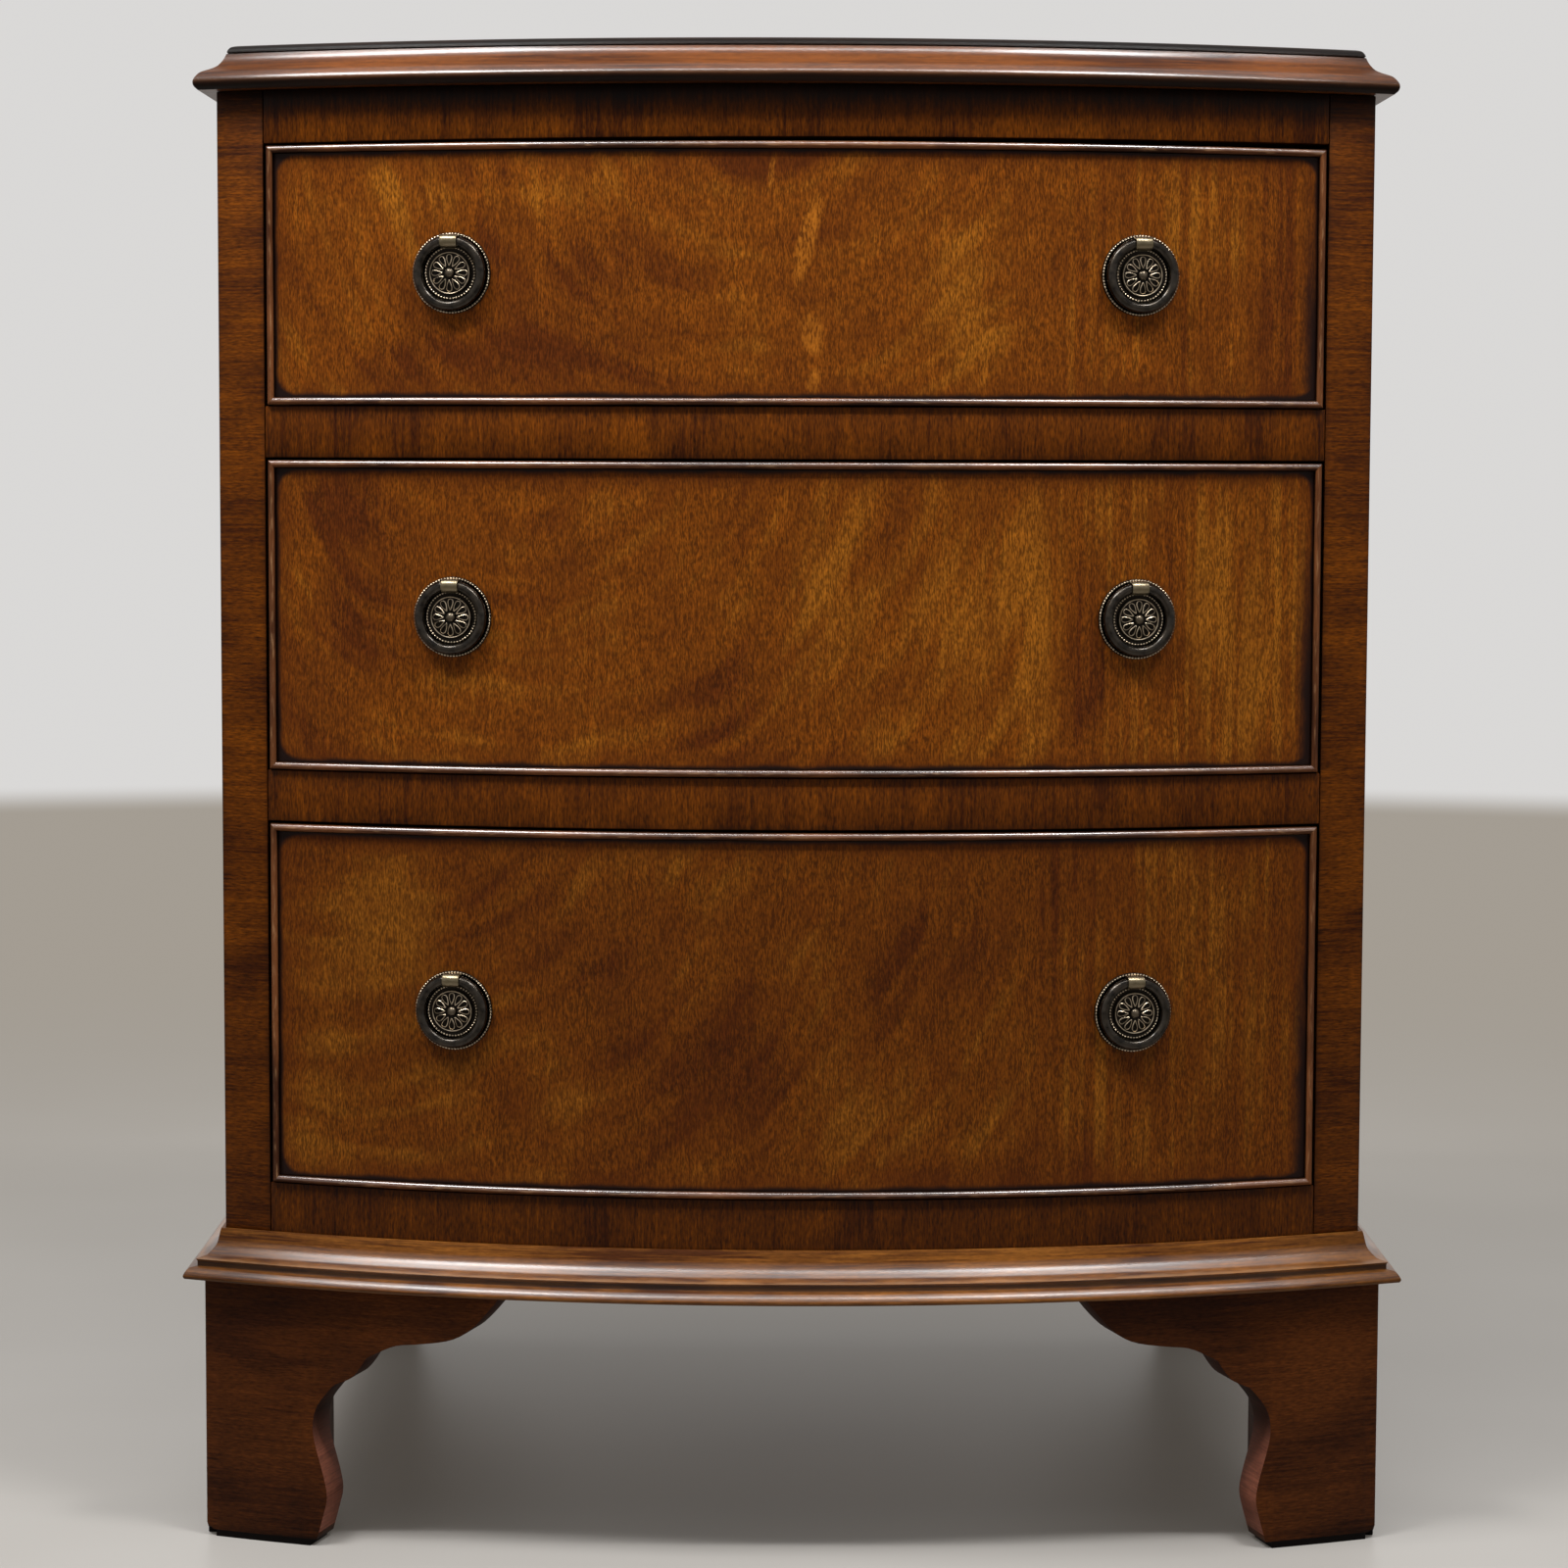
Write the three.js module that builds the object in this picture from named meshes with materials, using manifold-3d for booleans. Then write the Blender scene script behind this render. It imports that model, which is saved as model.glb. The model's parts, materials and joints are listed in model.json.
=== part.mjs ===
import * as THREE from 'three';
import { mergeVertices } from 'three/addons/utils/BufferGeometryUtils.js';
import Module from 'manifold-3d';

// Bow front chest of three drawers, in millimetres, +Z up, with its front towards -Y.
// The origin is on the floor under the middle of the whole chest.

// Carcass
const CARCASS_WIDTH = 530;
const SIDE_DEPTH = 422; // side panel, from its front corner to its back edge
const BOW_RADIUS = 725; // of the carcass front, seen from above
const SIDE_THICKNESS = 22;
const TOP_THICKNESS = 20.9;
const TOP_OVERHANG = 10; // nose of the top past the carcass, at the front and both ends
const TOP_RAIL_HEIGHT = 24;
const BOTTOM_RAIL_HEIGHT = 45;
const DIVIDER_HEIGHT = 23.5;
const OPENING_HEIGHTS = [169, 143.5, 119]; // drawer openings, the lowest first
const RAIL_DEPTH = 48; // of each front rail at its ends, where the bow is shallowest
const BACK_RAIL_DEPTH = 50;
const BACK_PANEL_THICKNESS = 6;
const BACK_REBATE_WIDTH = 10; // of the back panel's seat in each side
const BOTTOM_BOARD_THICKNESS = 15;
const RUNNER_WIDTH = 20;
const RUNNER_HEIGHT = 14;
const KICKER_WIDTH = 40; // of the batten that keeps the open top drawer from tipping

// Base moulding and bracket feet
const BASE_MOULDING_HEIGHT = 22;
const BASE_MOULDING_PROJECTION = 18.5;
const FOOT_HEIGHT = 123;
const FOOT_PROJECTION = 9; // of each bracket past the carcass face
const BRACKET_THICKNESS = 20;
const BRACKET_LENGTH = 139; // along the face, out to the tip of the wing
const REAR_BRACKET_LENGTH = 110;
const REAR_BRACKET_THICKNESS = 16;
const FOOT_BLOCK_WIDTH = 34; // behind a front foot
const REAR_FOOT_BLOCK_WIDTH = 20;
const FOOT_BLOCK_LIFT = 4; // of each glue block off the floor

// Drawers
const DRAWER_SIDE_GAP = 1.5; // between a drawer and the side of its opening
const DRAWER_TOP_GAP = 1.2;
const DRAWER_FOOT_GAP = 0.6;
const DRAWER_FRONT_THICKNESS = 20;
const DRAWER_SIDE_THICKNESS = 10;
const DRAWER_SIDE_DROP = 4; // of the sides' top edge below the top of the opening
const DRAWER_BACK_THICKNESS = 9;
const DRAWER_BACK_DROP = 4; // of the back's top edge below the sides
const DRAWER_BACK_INSET = 12; // of the back from the rear ends of the sides
const DRAWER_BOTTOM_THICKNESS = 5;
const DRAWER_BOTTOM_RAISE = 9;
const DRAWER_GROOVE_DEPTH = 4;
const DRAWER_STOP_GAP = 3; // between a closed drawer and the back panel
const BEAD_THICKNESS = 3.3;
const BEAD_DEPTH = 10; // of its seat behind the drawer's face
const BEAD_PROUD = 2.6;

// Ring pulls
const HANDLE_INSET = 86.5; // of the middle of each pull from the end of its drawer
const PLATE_DIAMETER = 36.4;
const PLATE_THICKNESS = 0.9;
const PLATE_RIM_HEIGHT = 0.5; // of the beaded rim above the plate
const PLATE_BOSS_HEIGHT = 1.6; // of the beaded boss inside the ring
const ROSETTE_DIAMETER = 18.4;
const ROSETTE_HEIGHT = 2.8;
const ROSETTE_DOME_DIAMETER = 5.2;
const ROSETTE_DOME_HEIGHT = 4.6;
const RING_DIAMETER = 29.2; // to the middle of its bar
const RING_BAR_DIAMETER = 4.5;
const RING_STANDOFF = 4.3; // of the ring's plane from the drawer's face
const PIVOT_DIAMETER = 3.2;
const PIVOT_HEIGHT = 14.2; // above the middle of the plate
const PIVOT_CLEARANCE = 0.35;
const PIVOT_BITE = 0.8; // of the pivot into each end of the ring
const KNUCKLE_WIDTH = 8;
const KNUCKLE_DIAMETER = 6.2;
const KNUCKLE_NECK_HEIGHT = 3.4;
const STUD_DIAMETER = 4;
const STUD_REACH = 6; // past the back of the drawer front
const STUD_CLEARANCE = 0.4;

// Fits
const JOINT_GAP = 0.3; // between glued or seated pieces
const CUT_OVERRUN = 5; // of every cutting tool past what it cuts

// Fineness of the round shapes
const BOW_STEPS = 16;
const CORNER_BOW_STEPS = 2;
const WING_BOW_STEPS = 6;
const PLATE_SIDES = 20;
const RING_STEPS = 24;
const RING_SIDES = 8;
const KNUCKLE_SIDES = 12;

// Top edge, from its lower corner up: shares of the edge's width in from the nose, and of the thickness.
const TOP_EDGE_WIDTH = 18.5;
const TOP_EDGE_SHARES = [
  [0.12, 0],
  [0.02, 0.08],
  [0, 0.17],
  [0.04, 0.27],
  [0.15, 0.37],
  [0.43, 0.485],
  [0.57, 0.555],
  [0.68, 0.665],
  [0.77, 0.815],
  [0.82, 0.83],
  [0.78, 0.855],
  [0.81, 0.905],
  [0.875, 0.965],
  [1, 1],
];

// Base moulding, from its lower edge up: shares of its projection and of its height.
const BASE_EDGE_SHARES = [
  [0.96, 0],
  [1, 0.07],
  [0.93, 0.16],
  [0.79, 0.235],
  [0.66, 0.25],
  [0.66, 0.36],
  [0.7, 0.4],
  [0.46, 0.455],
  [0.31, 0.54],
  [0.2, 0.68],
  [0.13, 0.84],
  [0.1, 1],
];

// Inner edge of a bracket foot, from the floor up: shares of the bracket's length and of its height.
const BRACKET_EDGE_SHARES = [
  [0.39, 0],
  [0.41, 0.1],
  [0.42, 0.17],
  [0.41, 0.25],
  [0.38, 0.39],
  [0.374, 0.465],
  [0.39, 0.53],
  [0.43, 0.593],
  [0.45, 0.617],
  [0.5, 0.643],
  [0.53, 0.678],
  [0.56, 0.73],
  [0.6, 0.755],
  [0.66, 0.785],
  [0.735, 0.796],
  [0.83, 0.814],
  [0.89, 0.845],
  [0.94, 0.897],
  [1, 0.97],
];

// Inner edge of the plain bracket behind a rear foot.
const REAR_BRACKET_EDGE_SHARES = [
  [0.36, 0],
  [0.5, 0.5],
  [1, 0.8],
];

// Half section of the cockbead's rounded nose: shares of its thickness and of how far it stands proud.
const BEAD_NOSE_SHARES = [
  [0, 0.45],
  [0.17, 0.82],
  [0.5, 1],
  [0.83, 0.82],
  [1, 0.45],
];

// Backplate: shares of its radius at the outer bead, the edges of the channel and the bead of the boss.
const OUTER_BEAD_SHARE = 0.965;
const CHANNEL_OUTER_SHARE = 0.925;
const CHANNEL_INNER_SHARE = 0.665;
const INNER_BEAD_SHARE = 0.635;
const ROSETTE_RIM_SHARE = 0.93; // of the rosette's radius, to the inside of its raised rim
const ROSETTE_DISH_SHARE = 0.75; // of the rosette's height, down in the dish

// Worked out from the sizes above
const HALF_WIDTH = CARCASS_WIDTH / 2;
const HALF_OPENING = HALF_WIDTH - SIDE_THICKNESS;
const BOW_RISE = BOW_RADIUS - Math.sqrt(BOW_RADIUS ** 2 - HALF_WIDTH ** 2);
const BACK_Y = (SIDE_DEPTH + BOW_RISE + BASE_MOULDING_PROJECTION) / 2;
const BOW_CENTRE_Y = BACK_Y - SIDE_DEPTH - BOW_RISE + BOW_RADIUS;
const OPENINGS_HEIGHT = OPENING_HEIGHTS.reduce((sum, height) => sum + height);
const DIVIDERS_HEIGHT = DIVIDER_HEIGHT * (OPENING_HEIGHTS.length - 1);
const CARCASS_HEIGHT = BOTTOM_RAIL_HEIGHT + OPENINGS_HEIGHT + DIVIDERS_HEIGHT + TOP_RAIL_HEIGHT;
const CARCASS_TOP = FOOT_HEIGHT + CARCASS_HEIGHT;
const BACK_PANEL_FACE_Y = BACK_Y - BACK_PANEL_THICKNESS - JOINT_GAP;
const RAIL_BACK_Y = bowY(HALF_OPENING, 0) + RAIL_DEPTH;
const DRAWER_HALF_WIDTH = HALF_OPENING - DRAWER_SIDE_GAP;
const HANDLE_SPREAD = DRAWER_HALF_WIDTH - HANDLE_INSET;
const HANDLE_TURN = Math.asin(HANDLE_SPREAD / BOW_RADIUS);

const wasm = await Module();
wasm.setup();

// Wood and metal colours
function wood(color, roughness) {
  return new THREE.MeshStandardMaterial({ color, roughness, metalness: 0 });
}

const MATERIALS = {
  veneer: () => wood(0x8a4a1e, 0.35),
  crossbanding: () => wood(0x5e3018, 0.35),
  stile: () => wood(0x4a2613, 0.4),
  moulding: () => wood(0x7a4020, 0.25),
  foot: () => wood(0x3c1c12, 0.4),
  lining: () => wood(0xc0a070, 0.7),
  ply: () => wood(0xa98a5c, 0.8),
  brass: () => new THREE.MeshStandardMaterial({ color: 0x5a4a30, roughness: 0.4, metalness: 1 }),
};

// Y of a line parallel to the bowed front, a distance out from it, at one x.
function bowY(x, out) {
  return BOW_CENTRE_Y - Math.sqrt((BOW_RADIUS + out) ** 2 - x ** 2);
}

// Points along the bow from one x to another, seen from above.
function bowLine(fromX, toX, out, steps) {
  return Array.from({ length: steps + 1 }, (_, i) => {
    const x = fromX + ((toX - fromX) * i) / steps;
    return new THREE.Vector2(x, bowY(x, out));
  });
}

function point(x, y) {
  return new THREE.Vector2(x, y);
}

// A geometry's faces, turned round where they would point inwards.
function facingOut(geometry) {
  const merged = onlyPositions(geometry);
  const position = merged.attributes.position;
  const index = merged.index.array;
  const [a, b, c] = [new THREE.Vector3(), new THREE.Vector3(), new THREE.Vector3()];
  let volume = 0;
  for (let i = 0; i < index.length; i += 3) {
    a.fromBufferAttribute(position, index[i]);
    b.fromBufferAttribute(position, index[i + 1]);
    c.fromBufferAttribute(position, index[i + 2]);
    volume += a.dot(b.cross(c));
  }
  if (volume < 0) index.reverse();
  return merged;
}

function onlyPositions(geometry) {
  const copy = geometry.clone();
  copy.deleteAttribute('normal');
  copy.deleteAttribute('uv');
  return mergeVertices(copy);
}

// A closed body through rings of as many points each, capped at both ends.
function loft(rings, flatten) {
  const count = rings[0].length;
  const positions = rings.flat().flatMap((p) => [p.x, p.y, p.z]);
  const index = [];
  for (let ring = 0; ring + 1 < rings.length; ring++) {
    for (let i = 0; i < count; i++) {
      const next = (i + 1) % count;
      const [a, b] = [ring * count + i, ring * count + next];
      index.push(a, b, b + count, a, b + count, a + count);
    }
  }
  const caps = THREE.ShapeUtils.triangulateShape(rings[0].map(flatten), []);
  const last = (rings.length - 1) * count;
  const turned = THREE.ShapeUtils.isClockWise(rings[0].map(flatten));
  for (const [a, b, c] of caps) {
    if (turned) {
      index.push(a, b, c, last + a, last + c, last + b);
    } else {
      index.push(a, c, b, last + a, last + b, last + c);
    }
  }
  const geometry = new THREE.BufferGeometry();
  geometry.setAttribute('position', new THREE.Float32BufferAttribute(positions, 3));
  geometry.setIndex(index);
  return facingOut(geometry);
}

// An outline seen from above, raised from one height to another.
function raised(outline, bottom, top) {
  const shape = new THREE.Shape(outline);
  const geometry = new THREE.ExtrudeGeometry(shape, { depth: top - bottom, bevelEnabled: false });
  return facingOut(geometry.translate(0, 0, bottom));
}

// A square block between two corners.
function block(x0, x1, y0, y1, z0, z1) {
  const geometry = new THREE.BoxGeometry(x1 - x0, y1 - y0, z1 - z0);
  return facingOut(geometry.translate((x0 + x1) / 2, (y0 + y1) / 2, (z0 + z1) / 2));
}

// A round bar along X, through one point.
function barAlongX(radius, length, sides, y, z) {
  const geometry = new THREE.CylinderGeometry(radius, radius, length, sides);
  return facingOut(geometry.rotateZ(Math.PI / 2).translate(0, y, z));
}

function solidOf(geometry) {
  const { attributes, index } = facingOut(geometry);
  const vertProperties = new Float32Array(attributes.position.array);
  return new wasm.Manifold(new wasm.Mesh({ numProp: 3, vertProperties, triVerts: new Uint32Array(index.array) }));
}

function geometryOf(solid) {
  const { vertProperties, triVerts } = solid.getMesh();
  const geometry = new THREE.BufferGeometry();
  geometry.setAttribute('position', new THREE.BufferAttribute(vertProperties, 3));
  geometry.setIndex(new THREE.BufferAttribute(triVerts, 1));
  return geometry;
}

function joined(first, ...others) {
  return geometryOf(others.reduce((solid, geometry) => solid.add(solidOf(geometry)), solidOf(first)));
}

function cut(first, ...others) {
  return geometryOf(others.reduce((solid, geometry) => solid.subtract(solidOf(geometry)), solidOf(first)));
}

function common(first, second) {
  return geometryOf(solidOf(first).intersect(solidOf(second)));
}

function mirrored(geometry) {
  return facingOut(geometry.clone().scale(-1, 1, 1));
}

function piece(name, geometry, finish) {
  const mesh = new THREE.Mesh(geometry.toNonIndexed(), MATERIALS[finish]());
  mesh.geometry.computeVertexNormals();
  mesh.name = name;
  return mesh;
}

function pair(name, rightGeometry, finish) {
  const left = piece(`${name}_left`, mirrored(rightGeometry), finish);
  return [left, piece(`${name}_right`, rightGeometry, finish)];
}

// The outline of the carcass seen from above, a distance out from its front and its ends.
function carcassOutline(out) {
  const halfWidth = HALF_WIDTH + out;
  const front = bowLine(-halfWidth, halfWidth, out, BOW_STEPS);
  return [...front, point(halfWidth, BACK_Y), point(-halfWidth, BACK_Y)];
}

// The moulded top: one outline for each point of its edge.
function topBoard() {
  const bottom = CARCASS_TOP + JOINT_GAP;
  const rings = TOP_EDGE_SHARES.map(([inShare, upShare]) => {
    const out = TOP_OVERHANG - inShare * TOP_EDGE_WIDTH;
    const z = bottom + upShare * TOP_THICKNESS;
    return carcassOutline(out).map((p) => new THREE.Vector3(p.x, p.y, z));
  });
  return loft(rings, (p) => point(p.x, p.y));
}

// A side panel, its front edge following the bow, with a rebate for the back panel.
function sidePanel() {
  const outline = [
    ...bowLine(HALF_OPENING, HALF_WIDTH, 0, CORNER_BOW_STEPS),
    point(HALF_WIDTH, BACK_Y),
    point(HALF_OPENING + BACK_REBATE_WIDTH, BACK_Y),
    point(HALF_OPENING + BACK_REBATE_WIDTH, BACK_PANEL_FACE_Y),
    point(HALF_OPENING, BACK_PANEL_FACE_Y),
  ];
  return raised(outline, FOOT_HEIGHT, CARCASS_TOP);
}

// A rail between the sides, bowed in front and straight behind.
function frontRail(bottom, top) {
  const half = HALF_OPENING - JOINT_GAP;
  const outline = [...bowLine(-half, half, 0, BOW_STEPS), point(half, RAIL_BACK_Y), point(-half, RAIL_BACK_Y)];
  return raised(outline, bottom, top);
}

// Heights of the drawer openings and of the rails between them, from the floor.
function openingHeights() {
  let bottom = FOOT_HEIGHT + BOTTOM_RAIL_HEIGHT;
  return OPENING_HEIGHTS.map((height) => {
    const opening = { bottom, top: bottom + height };
    bottom = opening.top + DIVIDER_HEIGHT;
    return opening;
  });
}

const OPENINGS = openingHeights();

function carcass() {
  const half = HALF_OPENING - JOINT_GAP;
  const [lower, middle, upper] = OPENINGS;
  const backRailFront = BACK_PANEL_FACE_Y - JOINT_GAP - BACK_RAIL_DEPTH;
  const backRail = block(
    -half,
    half,
    backRailFront,
    BACK_PANEL_FACE_Y - JOINT_GAP,
    upper.top,
    CARCASS_TOP,
  );
  const boardFront = RAIL_BACK_Y + JOINT_GAP;
  const boardBack = BACK_PANEL_FACE_Y - JOINT_GAP;
  const bottomBoard = block(-half, half, boardFront, boardBack, lower.bottom - BOTTOM_BOARD_THICKNESS, lower.bottom);
  const panelHalf = HALF_OPENING + BACK_REBATE_WIDTH - JOINT_GAP;
  const backPanel = block(-panelHalf, panelHalf, BACK_Y - BACK_PANEL_THICKNESS, BACK_Y, FOOT_HEIGHT, CARCASS_TOP);
  const kicker = block(
    -KICKER_WIDTH / 2,
    KICKER_WIDTH / 2,
    boardFront,
    backRailFront - JOINT_GAP,
    upper.top,
    CARCASS_TOP,
  );
  return [
    piece('top_board', topBoard(), 'moulding'),
    ...pair('side', sidePanel(), 'stile'),
    piece('top_front_rail', frontRail(upper.top, CARCASS_TOP), 'crossbanding'),
    piece('upper_divider_rail', frontRail(middle.top, upper.bottom), 'crossbanding'),
    piece('lower_divider_rail', frontRail(lower.top, middle.bottom), 'crossbanding'),
    piece('bottom_front_rail', frontRail(FOOT_HEIGHT, lower.bottom), 'crossbanding'),
    piece('top_back_rail', backRail, 'lining'),
    piece('top_kicker', kicker, 'lining'),
    piece('bottom_board', bottomBoard, 'lining'),
    piece('back_panel', backPanel, 'ply'),
  ];
}

// A pair of runners behind each divider, level with its upper edge.
function runners() {
  const names = ['middle_drawer_runner', 'upper_drawer_runner'];
  return names.flatMap((name, i) => {
    const top = OPENINGS[i + 1].bottom;
    const outer = HALF_OPENING - JOINT_GAP;
    const front = RAIL_BACK_Y + JOINT_GAP;
    const back = BACK_PANEL_FACE_Y - JOINT_GAP;
    return pair(name, block(outer - RUNNER_WIDTH, outer, front, back, top - RUNNER_HEIGHT, top), 'lining');
  });
}

// The base moulding's section: how far out from the carcass, and how high.
function baseSection() {
  const edge = BASE_EDGE_SHARES.map(([outShare, upShare]) => [
    outShare * BASE_MOULDING_PROJECTION,
    FOOT_HEIGHT + upShare * BASE_MOULDING_HEIGHT,
  ]);
  return [[JOINT_GAP, FOOT_HEIGHT], ...edge, [JOINT_GAP, FOOT_HEIGHT + BASE_MOULDING_HEIGHT]];
}

// The front moulding follows the bow and is mitred at both corners.
function baseMouldingFront() {
  const section = baseSection();
  const rings = Array.from({ length: BOW_STEPS + 1 }, (_, i) =>
    section.map(([out, z]) => {
      const half = HALF_WIDTH + out - JOINT_GAP / 2;
      const x = half * ((2 * i) / BOW_STEPS - 1);
      return new THREE.Vector3(x, bowY(x, out), z);
    }),
  );
  return loft(rings, (p) => point(p.y, p.z));
}

// The right-hand moulding runs straight from its mitre to the back.
function baseMouldingRight() {
  const section = baseSection();
  const mitre = section.map(([out, z]) => {
    const x = HALF_WIDTH + out;
    return new THREE.Vector3(x, bowY(x, out) + JOINT_GAP, z);
  });
  const end = section.map(([out, z]) => new THREE.Vector3(HALF_WIDTH + out, BACK_Y, z));
  return loft([mitre, end], (p) => point(p.x, p.z));
}

// A bracket's outline in its own face: along from the corner, and up from the floor.
function bracketOutline(length, edgeShares) {
  const top = FOOT_HEIGHT - JOINT_GAP;
  const edge = edgeShares.map(([alongShare, upShare]) => point(alongShare * length, upShare * top));
  return [point(-CUT_OVERRUN, 0), ...edge, point(length, top), point(-CUT_OVERRUN, top)];
}

// The outline's points turned into a body along Y, read from the right-hand corner towards the middle.
function frontProfile(outline, cornerX) {
  const depth = SIDE_DEPTH + BOW_RADIUS;
  const shape = new THREE.Shape(outline.map((p) => point(cornerX - p.x, p.y)));
  const geometry = new THREE.ExtrudeGeometry(shape, { depth, bevelEnabled: false });
  return facingOut(geometry.rotateX(Math.PI / 2).translate(0, depth / 2, 0));
}

// The same along X, read from a corner at one y in a direction of 1 (backwards) or -1 (forwards).
function sideProfile(outline, cornerY, direction) {
  const depth = CARCASS_WIDTH;
  const shape = new THREE.Shape(outline.map((p) => point(cornerY + direction * p.x, p.y)));
  const geometry = new THREE.ExtrudeGeometry(shape, { depth, bevelEnabled: false });
  return facingOut(geometry.rotateX(Math.PI / 2).rotateZ(Math.PI / 2));
}

const FOOT_OUTER_X = HALF_WIDTH + FOOT_PROJECTION;
const FOOT_INNER_X = FOOT_OUTER_X - BRACKET_THICKNESS;
const FOOT_INNER_OUT = FOOT_PROJECTION - BRACKET_THICKNESS;
const FOOT_CORNER_Y = bowY(FOOT_OUTER_X, FOOT_PROJECTION);
const FOOT_INNER_Y = bowY(FOOT_INNER_X, FOOT_INNER_OUT);

// The outline on the bowed face of the front bracket, sawn through square to the middle of that face.
function bowedProfile(outline) {
  const turn = Math.asin((FOOT_OUTER_X - BRACKET_LENGTH / 2) / BOW_RADIUS);
  const saw = new THREE.Vector3(-Math.sin(turn), Math.cos(turn), 0);
  const rings = [-2 * BRACKET_THICKNESS, 3 * BRACKET_THICKNESS].map((reach) =>
    outline.map((p) => {
      const x = FOOT_OUTER_X - p.x;
      return new THREE.Vector3(x, bowY(x, FOOT_PROJECTION), p.y).addScaledVector(saw, reach);
    }),
  );
  return loft(rings, (p) => point(p.x, p.z));
}

// The front bracket of the right foot: bowed, and mitred at the corner.
function frontBracket() {
  const tipX = FOOT_OUTER_X - BRACKET_LENGTH;
  const plan = [
    ...bowLine(tipX, FOOT_OUTER_X, FOOT_PROJECTION, WING_BOW_STEPS),
    ...bowLine(FOOT_INNER_X, tipX, FOOT_INNER_OUT, WING_BOW_STEPS),
  ];
  const profile = bowedProfile(bracketOutline(BRACKET_LENGTH, BRACKET_EDGE_SHARES));
  return common(raised(plan, 0, FOOT_HEIGHT - JOINT_GAP), profile);
}

// The side bracket of the right front foot, mitred to the front one.
function frontSideBracket() {
  const mitreGap = JOINT_GAP * Math.SQRT2;
  const tipY = FOOT_CORNER_Y + BRACKET_LENGTH;
  const plan = [
    point(FOOT_OUTER_X, FOOT_CORNER_Y + mitreGap),
    point(FOOT_OUTER_X, tipY),
    point(FOOT_INNER_X, tipY),
    point(FOOT_INNER_X, FOOT_INNER_Y + mitreGap),
  ];
  const profile = sideProfile(bracketOutline(BRACKET_LENGTH, BRACKET_EDGE_SHARES), FOOT_CORNER_Y, 1);
  return common(raised(plan, 0, FOOT_HEIGHT - JOINT_GAP), profile);
}

// The side bracket of the right rear foot, square at the back.
function rearSideBracket() {
  const tipY = BACK_Y - BRACKET_LENGTH;
  const plan = [
    point(FOOT_INNER_X, tipY),
    point(FOOT_OUTER_X, tipY),
    point(FOOT_OUTER_X, BACK_Y),
    point(FOOT_INNER_X, BACK_Y),
  ];
  const profile = sideProfile(bracketOutline(BRACKET_LENGTH, BRACKET_EDGE_SHARES), BACK_Y, -1);
  return common(raised(plan, 0, FOOT_HEIGHT - JOINT_GAP), profile);
}

// The plain bracket across the back of the right rear foot.
function rearBracket() {
  const outer = FOOT_INNER_X - JOINT_GAP;
  const top = FOOT_HEIGHT - JOINT_GAP;
  const board = block(outer - REAR_BRACKET_LENGTH, outer, BACK_Y - REAR_BRACKET_THICKNESS, BACK_Y, 0, top);
  return common(board, frontProfile(bracketOutline(REAR_BRACKET_LENGTH, REAR_BRACKET_EDGE_SHARES), outer));
}

// A glue block in the corner of a foot, standing just clear of the floor.
function footBlock(frontY, width) {
  const outer = FOOT_INNER_X - JOINT_GAP;
  return block(outer - width, outer, frontY, frontY + width, FOOT_BLOCK_LIFT, FOOT_HEIGHT - JOINT_GAP);
}

function base() {
  const frontBlockY = bowY(FOOT_INNER_X - JOINT_GAP, FOOT_INNER_OUT) + JOINT_GAP;
  const rearBlockY = BACK_Y - REAR_BRACKET_THICKNESS - JOINT_GAP - REAR_FOOT_BLOCK_WIDTH;
  return [
    piece('base_moulding_front', baseMouldingFront(), 'moulding'),
    ...pair('base_moulding', baseMouldingRight(), 'moulding'),
    ...pair('front_foot_bracket', frontBracket(), 'foot'),
    ...pair('front_foot_side_bracket', frontSideBracket(), 'foot'),
    ...pair('front_foot_block', footBlock(frontBlockY, FOOT_BLOCK_WIDTH), 'lining'),
    ...pair('rear_foot_side_bracket', rearSideBracket(), 'foot'),
    ...pair('rear_foot_bracket', rearBracket(), 'lining'),
    ...pair('rear_foot_block', footBlock(rearBlockY, REAR_FOOT_BLOCK_WIDTH), 'lining'),
  ];
}

// The heights of one drawer's parts.
function drawerHeights({ bottom, top }) {
  const frontBottom = bottom + DRAWER_FOOT_GAP;
  const frontTop = top - DRAWER_TOP_GAP;
  const sideBottom = bottom + JOINT_GAP;
  const sideTop = top - DRAWER_SIDE_DROP;
  const panelBottom = sideBottom + DRAWER_BOTTOM_RAISE;
  return { frontBottom, frontTop, sideBottom, sideTop, panelBottom, panelTop: panelBottom + DRAWER_BOTTOM_THICKNESS };
}

// A slab between two lines parallel to the bow.
function bowedSlab(half, outerOut, innerOut, bottom, top) {
  const outline = [
    ...bowLine(-half, half, outerOut, BOW_STEPS),
    ...bowLine(half, -half, innerOut, BOW_STEPS),
  ];
  return raised(outline, bottom, top);
}

const DRAWER_BACK_END_Y = BACK_PANEL_FACE_Y - DRAWER_STOP_GAP;
const DRAWER_INNER_HALF = DRAWER_HALF_WIDTH - DRAWER_SIDE_THICKNESS;
const BEAD_INNER_HALF = DRAWER_HALF_WIDTH - BEAD_THICKNESS;
const SIDE_LAP_OUT = -BEAD_DEPTH - JOINT_GAP; // where the sides' front ends meet the front
const GROOVE_GAP = JOINT_GAP; // all round the bottom panel in its grooves

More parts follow.
